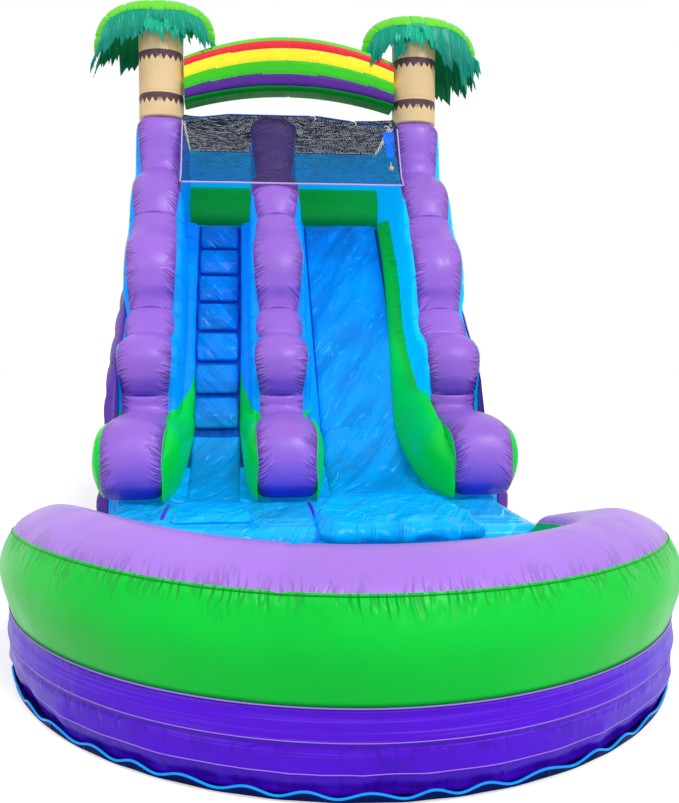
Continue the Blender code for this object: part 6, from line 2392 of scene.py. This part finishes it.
@dataclass
class RearFittings:
    """The sleeve, the blower's grille, the vent's flap and the stitching at the back."""

    sleeve_x: float = -0.62
    fan_z: float = 0.31
    fan_y: float = 4.76
    sleeve_y: float = 4.185
    sleeve_length: float = 0.335
    sleeve_radius: float = 0.133
    lining_radius: float = 0.1285
    strap_y: float = 4.44
    guard_x: float = -0.7525
    wire: float = 0.0016
    spokes: int = 6
    guard_radii: tuple[float, ...] = (0.024, 0.047, 0.070, 0.093, 0.114)
    flap_x: float = 0.55
    flap_half: float = 0.32
    flap_top: float = 0.73
    flap_tall: float = 0.15
    patch_x: float = 1.4672
    patch_ys: tuple[float, ...] = (1.10, 3.75)
    patch_z: float = 0.218
    patch_half: float = 0.034
    stitch_pitch: float = 0.0065
    stitch: tuple[float, float, float] = (0.0012, 0.0042, 0.0012)
    zip_start: tuple[float, float, float] = (0.256, 4.2034, 0.66)
    tooth_pitch: float = 0.005
    tooth: tuple[float, float, float] = (0.0030, 0.0012, 0.0055)

    def sleeve_spot(self, u: float, v: float) -> Spot:
        """The point and facts round and along the inflation sleeve.

        Args:
            u: the share of the way across or round it.
            v: the share of the way along or down it.

        Returns:
            The point and the seam facts.
        """
        outer = v <= 0.5
        y = self.sleeve_y + self.sleeve_length * (2 * v if outer else 2 * (1 - v))
        fold = 0.004 * math.sin(u * math.tau * 11 + 3 * rough(y * 9, 1.0)) * (0.3 + ease(y, 4.3, 4.42))
        gather = 0.010 * bump(y - self.strap_y, 0.018)
        radius = self.sleeve_radius + abs(fold) - gather * 0.3 if outer else self.lining_radius
        angle = math.tau * u
        spot = Vector((self.sleeve_x + radius * math.cos(angle), y, self.fan_z + radius * math.sin(angle)))
        return spot, (angle * 0.13, abs(y - self.strap_y), 0.8)

    def grille(self) -> bmesh.types.BMesh:
        """The wire guard over the blower's intake: rings and spokes.

        Returns:
            The shape.
        """
        shape = bmesh.new()
        facing = Vector((0, 1, 0)).to_track_quat("Z", "X").to_matrix()
        for radius in self.guard_radii:
            ring = bmesh.ops.create_circle(shape, segments=36, radius=self.wire)["verts"]
            bmesh.ops.rotate(shape, cent=(0, 0, 0), matrix=facing, verts=ring)
            bmesh.ops.translate(shape, vec=(0.0, 0.0, radius), verts=ring)
            edges = list({edge for vert in ring for edge in vert.link_edges})
            bmesh.ops.spin(
                shape, geom=ring + edges, cent=(0, 0, 0), axis=(1, 0, 0), angle=math.tau, steps=48, use_merge=True,
            )
        for i in range(self.spokes):
            made = bmesh.ops.create_cone(
                shape, cap_ends=True, segments=8, radius1=self.wire, radius2=self.wire,
                depth=2 * self.guard_radii[-1],
            )["verts"]
            angle = math.pi * i / self.spokes
            turn = Vector((0, math.cos(angle), math.sin(angle))).to_track_quat("Z", "X")
            bmesh.ops.rotate(shape, cent=(0, 0, 0), matrix=turn.to_matrix(), verts=made)
        bmesh.ops.translate(shape, vec=(self.guard_x, self.fan_y, self.fan_z), verts=shape.verts)
        return shape

    def flap_spot(self, u: float, v: float) -> Spot:
        """The point and facts round and along the vent's cover flap.

        Args:
            u: the share of the way across or round it.
            v: the share of the way along or down it.

        Returns:
            The point and the seam facts.
        """
        x = self.flap_x + self.flap_half * (2 * v - 1)
        ring = u * 2
        if ring < 1:
            z, out = self.flap_top - self.flap_tall * ring, 0.0165 - 0.004 * (1 - ease(ring, 0.0, 0.15))
            out += 0.002 * math.sin(x * 30) * ease(ring, 0.2, 1.0)
        else:
            z, out = self.flap_top - self.flap_tall * (2 - ring), 0.0125 if ring < 1.87 else 0.0006
        end = 1.0 if 0.0 < v < 1.0 else 0.0
        return Vector((x, 4.2003 + out * (0.8 + 0.2 * end), z)), (x, abs(z - self.flap_top), 0.5)

    def stitches(self) -> bmesh.types.BMesh:
        """Short stitches round the anchor patches.

        Returns:
            The shape.
        """
        return small_boxes([
            Vector((side * self.patch_x, y - 0.042 + self.stitch_pitch * i, self.patch_z + edge * self.patch_half))
            for side in (-1.0, 1.0) for y in self.patch_ys for i in range(14) for edge in (-1.0, 1.0)
        ], self.stitch)

    def teeth(self) -> bmesh.types.BMesh:
        """The zip's coil, as two rows of small teeth.

        Returns:
            The shape.
        """
        x, y, z = self.zip_start
        return small_boxes([
            Vector((x + self.tooth_pitch * i, y, z + row * 0.0036)) for i in range(118) for row in (-1.0, 1.0)
        ], self.tooth)

    def build(self) -> None:
        """Makes the fittings and dresses the solids that stay."""
        sleeve = skin(96, 80, self.sleeve_spot)
        add_piece("inflation_sleeve_cloth", sleeve, [Look.PURPLE], "purple_vinyl", ["inflation_sleeve"])
        add_piece("blower_intake_guard", self.grille(), [Look.STEEL], "steel")
        flap = skin(30, 80, self.flap_spot)
        add_piece("vent_flap_cloth", flap, [Look.INDIGO], "purple_vinyl", ["vent_flap"], body="flap")
        add_piece("anchor_stitching", self.stitches(), [Look.WHITE], "black_plastic")
        add_piece("vent_zip_teeth", self.teeth(), [Look.BLACK], "black_plastic")
        places = [f"{side}_{end}" for side in ("left", "right") for end in ("front", "rear")]
        finishes = {
            Look.HOUSING: ["blower_housing"],
            Look.BLACK: ["blower_motor", "blower_switch", "hose_socket"],
            Look.WEBBING: ["vent_zip_tape"] + [f"anchor_patch_{place}" for place in places],
            Look.STEEL: ["blower_fan", "vent_zip_pull"] + [f"anchor_ring_{place}" for place in places],
        }
        for look, nodes in finishes.items():
            for node in nodes:
                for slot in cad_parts[node].material_slots:
                    slot.material = look.material()


@dataclass
class Studio:
    """The plain floor, the soft light and the camera at the photograph's angle."""

    eye: tuple[float, float, float] = (-0.45139, -6.21971, 1.3694)
    turn: tuple[float, float, float] = (math.pi / 2 - 0.04834, 0.0, -0.10210)
    lens: float = 42.70
    sky: float = 0.60
    sun: float = 1.5
    sun_angle: float = math.radians(14)
    sun_from: tuple[float, float, float] = (0.32, -0.68, 0.72)
    panel_size: tuple[float, float] = (5.0, 2.0)
    panel_watts: float = 120.0
    panel_at: tuple[float, float, float] = (-4.5, -6.5, 7.5)
    panel_aim: tuple[float, float, float] = (0.0, 1.0, 1.6)
    floor_glow: float = 0.62
    floor_half: float = 60.0
    floor_z: float = -0.003

    def seen_plain(self, graph: Graph) -> Wire:
        """1 for rays from the camera, a mirror or glass.

        Args:
            graph: the material's nodes.

        Returns:
            The mask.
        """
        camera, glossy, through = (
            graph.make("LightPath", {}, f"Is {kind} Ray") for kind in ("Camera", "Glossy", "Transmission")
        )
        return graph.math("MAXIMUM", graph.math("MAXIMUM", camera, glossy), through)

    def world(self) -> None:
        """A white backdrop, with an even grey light from it."""
        world = bpy.data.worlds.new("studio")
        world.use_nodes = True
        bpy.context.scene.world = world
        graph = Graph(world.node_tree)
        back = world.node_tree.nodes["Background"]
        back.inputs["Color"].default_value = (1.0, 1.0, 1.0, 1.0)
        plain = graph.fade(self.seen_plain(graph), 0.0, 1.0, self.sky, 1.0)
        graph.put(back.inputs["Strength"], plain)

    def floor(self) -> None:
        """A wide pale floor under the slide."""
        shape = bmesh.new()
        bmesh.ops.create_grid(shape, x_segments=4, y_segments=4, size=self.floor_half)
        bmesh.ops.translate(shape, vec=(0.0, 0.0, self.floor_z), verts=shape.verts)
        data = bpy.data.meshes.new("floor")
        shape.to_mesh(data)
        shape.free()
        floor = linked("floor", data)
        made = bpy.data.materials.new("pale_floor")
        made.use_nodes = True
        graph = Graph(made.node_tree)
        shader = made.node_tree.nodes["Principled BSDF"]
        shader.inputs["Base Color"].default_value = (0.55, 0.55, 0.55, 1.0)
        shader.inputs["Roughness"].default_value = 0.9
        shader.inputs["Emission Color"].default_value = (1.0, 1.0, 1.0, 1.0)
        graph.put(shader.inputs["Emission Strength"], self.seen_plain(graph) * self.floor_glow)
        data.materials.append(made)

    def light(self) -> None:
        """A soft sun from the upper right and a wide panel from the left that glints on the vinyl."""
        sun = bpy.data.lights.new("key", "SUN")
        sun.energy = self.sun
        sun.angle = self.sun_angle
        key = linked("key", sun)
        key.rotation_euler = Vector(self.sun_from).to_track_quat("Z", "Y").to_euler()
        panel = bpy.data.lights.new("panel", "AREA")
        panel.shape = "RECTANGLE"
        panel.size, panel.size_y = self.panel_size
        panel.energy = self.panel_watts
        soft = linked("panel", panel)
        soft.location = self.panel_at
        away = Vector(self.panel_at) - Vector(self.panel_aim)
        soft.rotation_euler = away.to_track_quat("Z", "Y").to_euler()

    def camera(self) -> None:
        """The camera, where the photograph was taken from."""
        data = bpy.data.cameras.new("photo_camera")
        data.lens = self.lens
        data.sensor_width = 36.0
        data.clip_end = 200.0
        camera = linked("photo_camera", data)
        camera.location = self.eye
        camera.rotation_euler = self.turn
        bpy.context.scene.camera = camera

    def build(self) -> None:
        """Sets the stage."""
        bpy.context.scene.view_settings.view_transform = "Standard"
        self.world()
        self.floor()
        self.light()
        self.camera()


def main() -> None:
    """Builds every sub-assembly."""
    logging.basicConfig(level=logging.INFO, format="%(message)s")
    Studio().build()
    walls = {"left": (-OUTER_WALL_X, 0.13), "centre": (CENTRE_WALL_X, 0.19), "right": (OUTER_WALL_X, 0.13)}
    for wall, (x, waist) in walls.items():
        WallCap(f"{wall}_wall_cap", x, waist=waist).build()
    WallChamber("left_wall", -OUTER_WALL_X, BODY_REAR_Y, 0.045, 0.075, left_outside=True).build()
    WallChamber("centre_wall", CENTRE_WALL_X, 3.20, 0.045, 0.035).build()
    WallChamber("right_wall", OUTER_WALL_X, BODY_REAR_Y, 0.05, 0.045, right_outside=True, blue=Look.PAINTED_LIT_BLUE).build()
    WallFoot("left_wall_foot", -WALL_FACE, 1.0, 0.175, 0.13, 1.72, high_height=0.06).build()
    WallFoot("centre_wall_left_foot", CENTRE_WALL_X - WALL_HALF, -1.0, 0.125, 0.10, 1.72, high_height=0.07).build()
    WallFoot("centre_wall_right_foot", CENTRE_WALL_X + WALL_HALF, 1.0, 0.115, 0.10, 1.15).build()
    WallFoot("right_wall_foot", WALL_FACE, -1.0, 0.25, 0.115, cheek_start=0.75, cheek_end=2.1).build()
    SideBody("left_side_body", -1.0).build()
    SideBody("right_side_body", 1.0, set_back=0.93).build()
    LandingBed().build()
    Decks().build()
    RearBody().build()
    BackRails().build()
    ClimbSteps().build()
    Liner(
        "slide_liner", BED_FRONT_Y, 3.04, (-0.03, 0.163), (0.90, 0.832), 0.22, -0.15, 0.045, 1.0,
    ).build((0.90, 4.75), 3.2, "slide_cover", ["landing_bed_cushion", "slope_cushion"])
    Liner(
        "climb_apron", -0.72, 1.115, (-0.87, -0.828), (-0.40, -0.470), 0.0, -0.45, 0.035, 4.0, rows=180, columns=60,
    ).build((0.46, 1.95), 0.72, "climb_cover", ["landing_bed_cushion", "slope_cushion"])
    PalmTree("left", -1.0, rib_height=0.17, seed=1.3).build()
    PalmTree("right", 1.0, rib_height=0.11, seed=5.1).build()
    RainbowArch().build()
    SafetyNets().build()
    Pool().build()
    HangingTie().build()
    RearFittings().build()


if __name__ == "__main__":
    main()
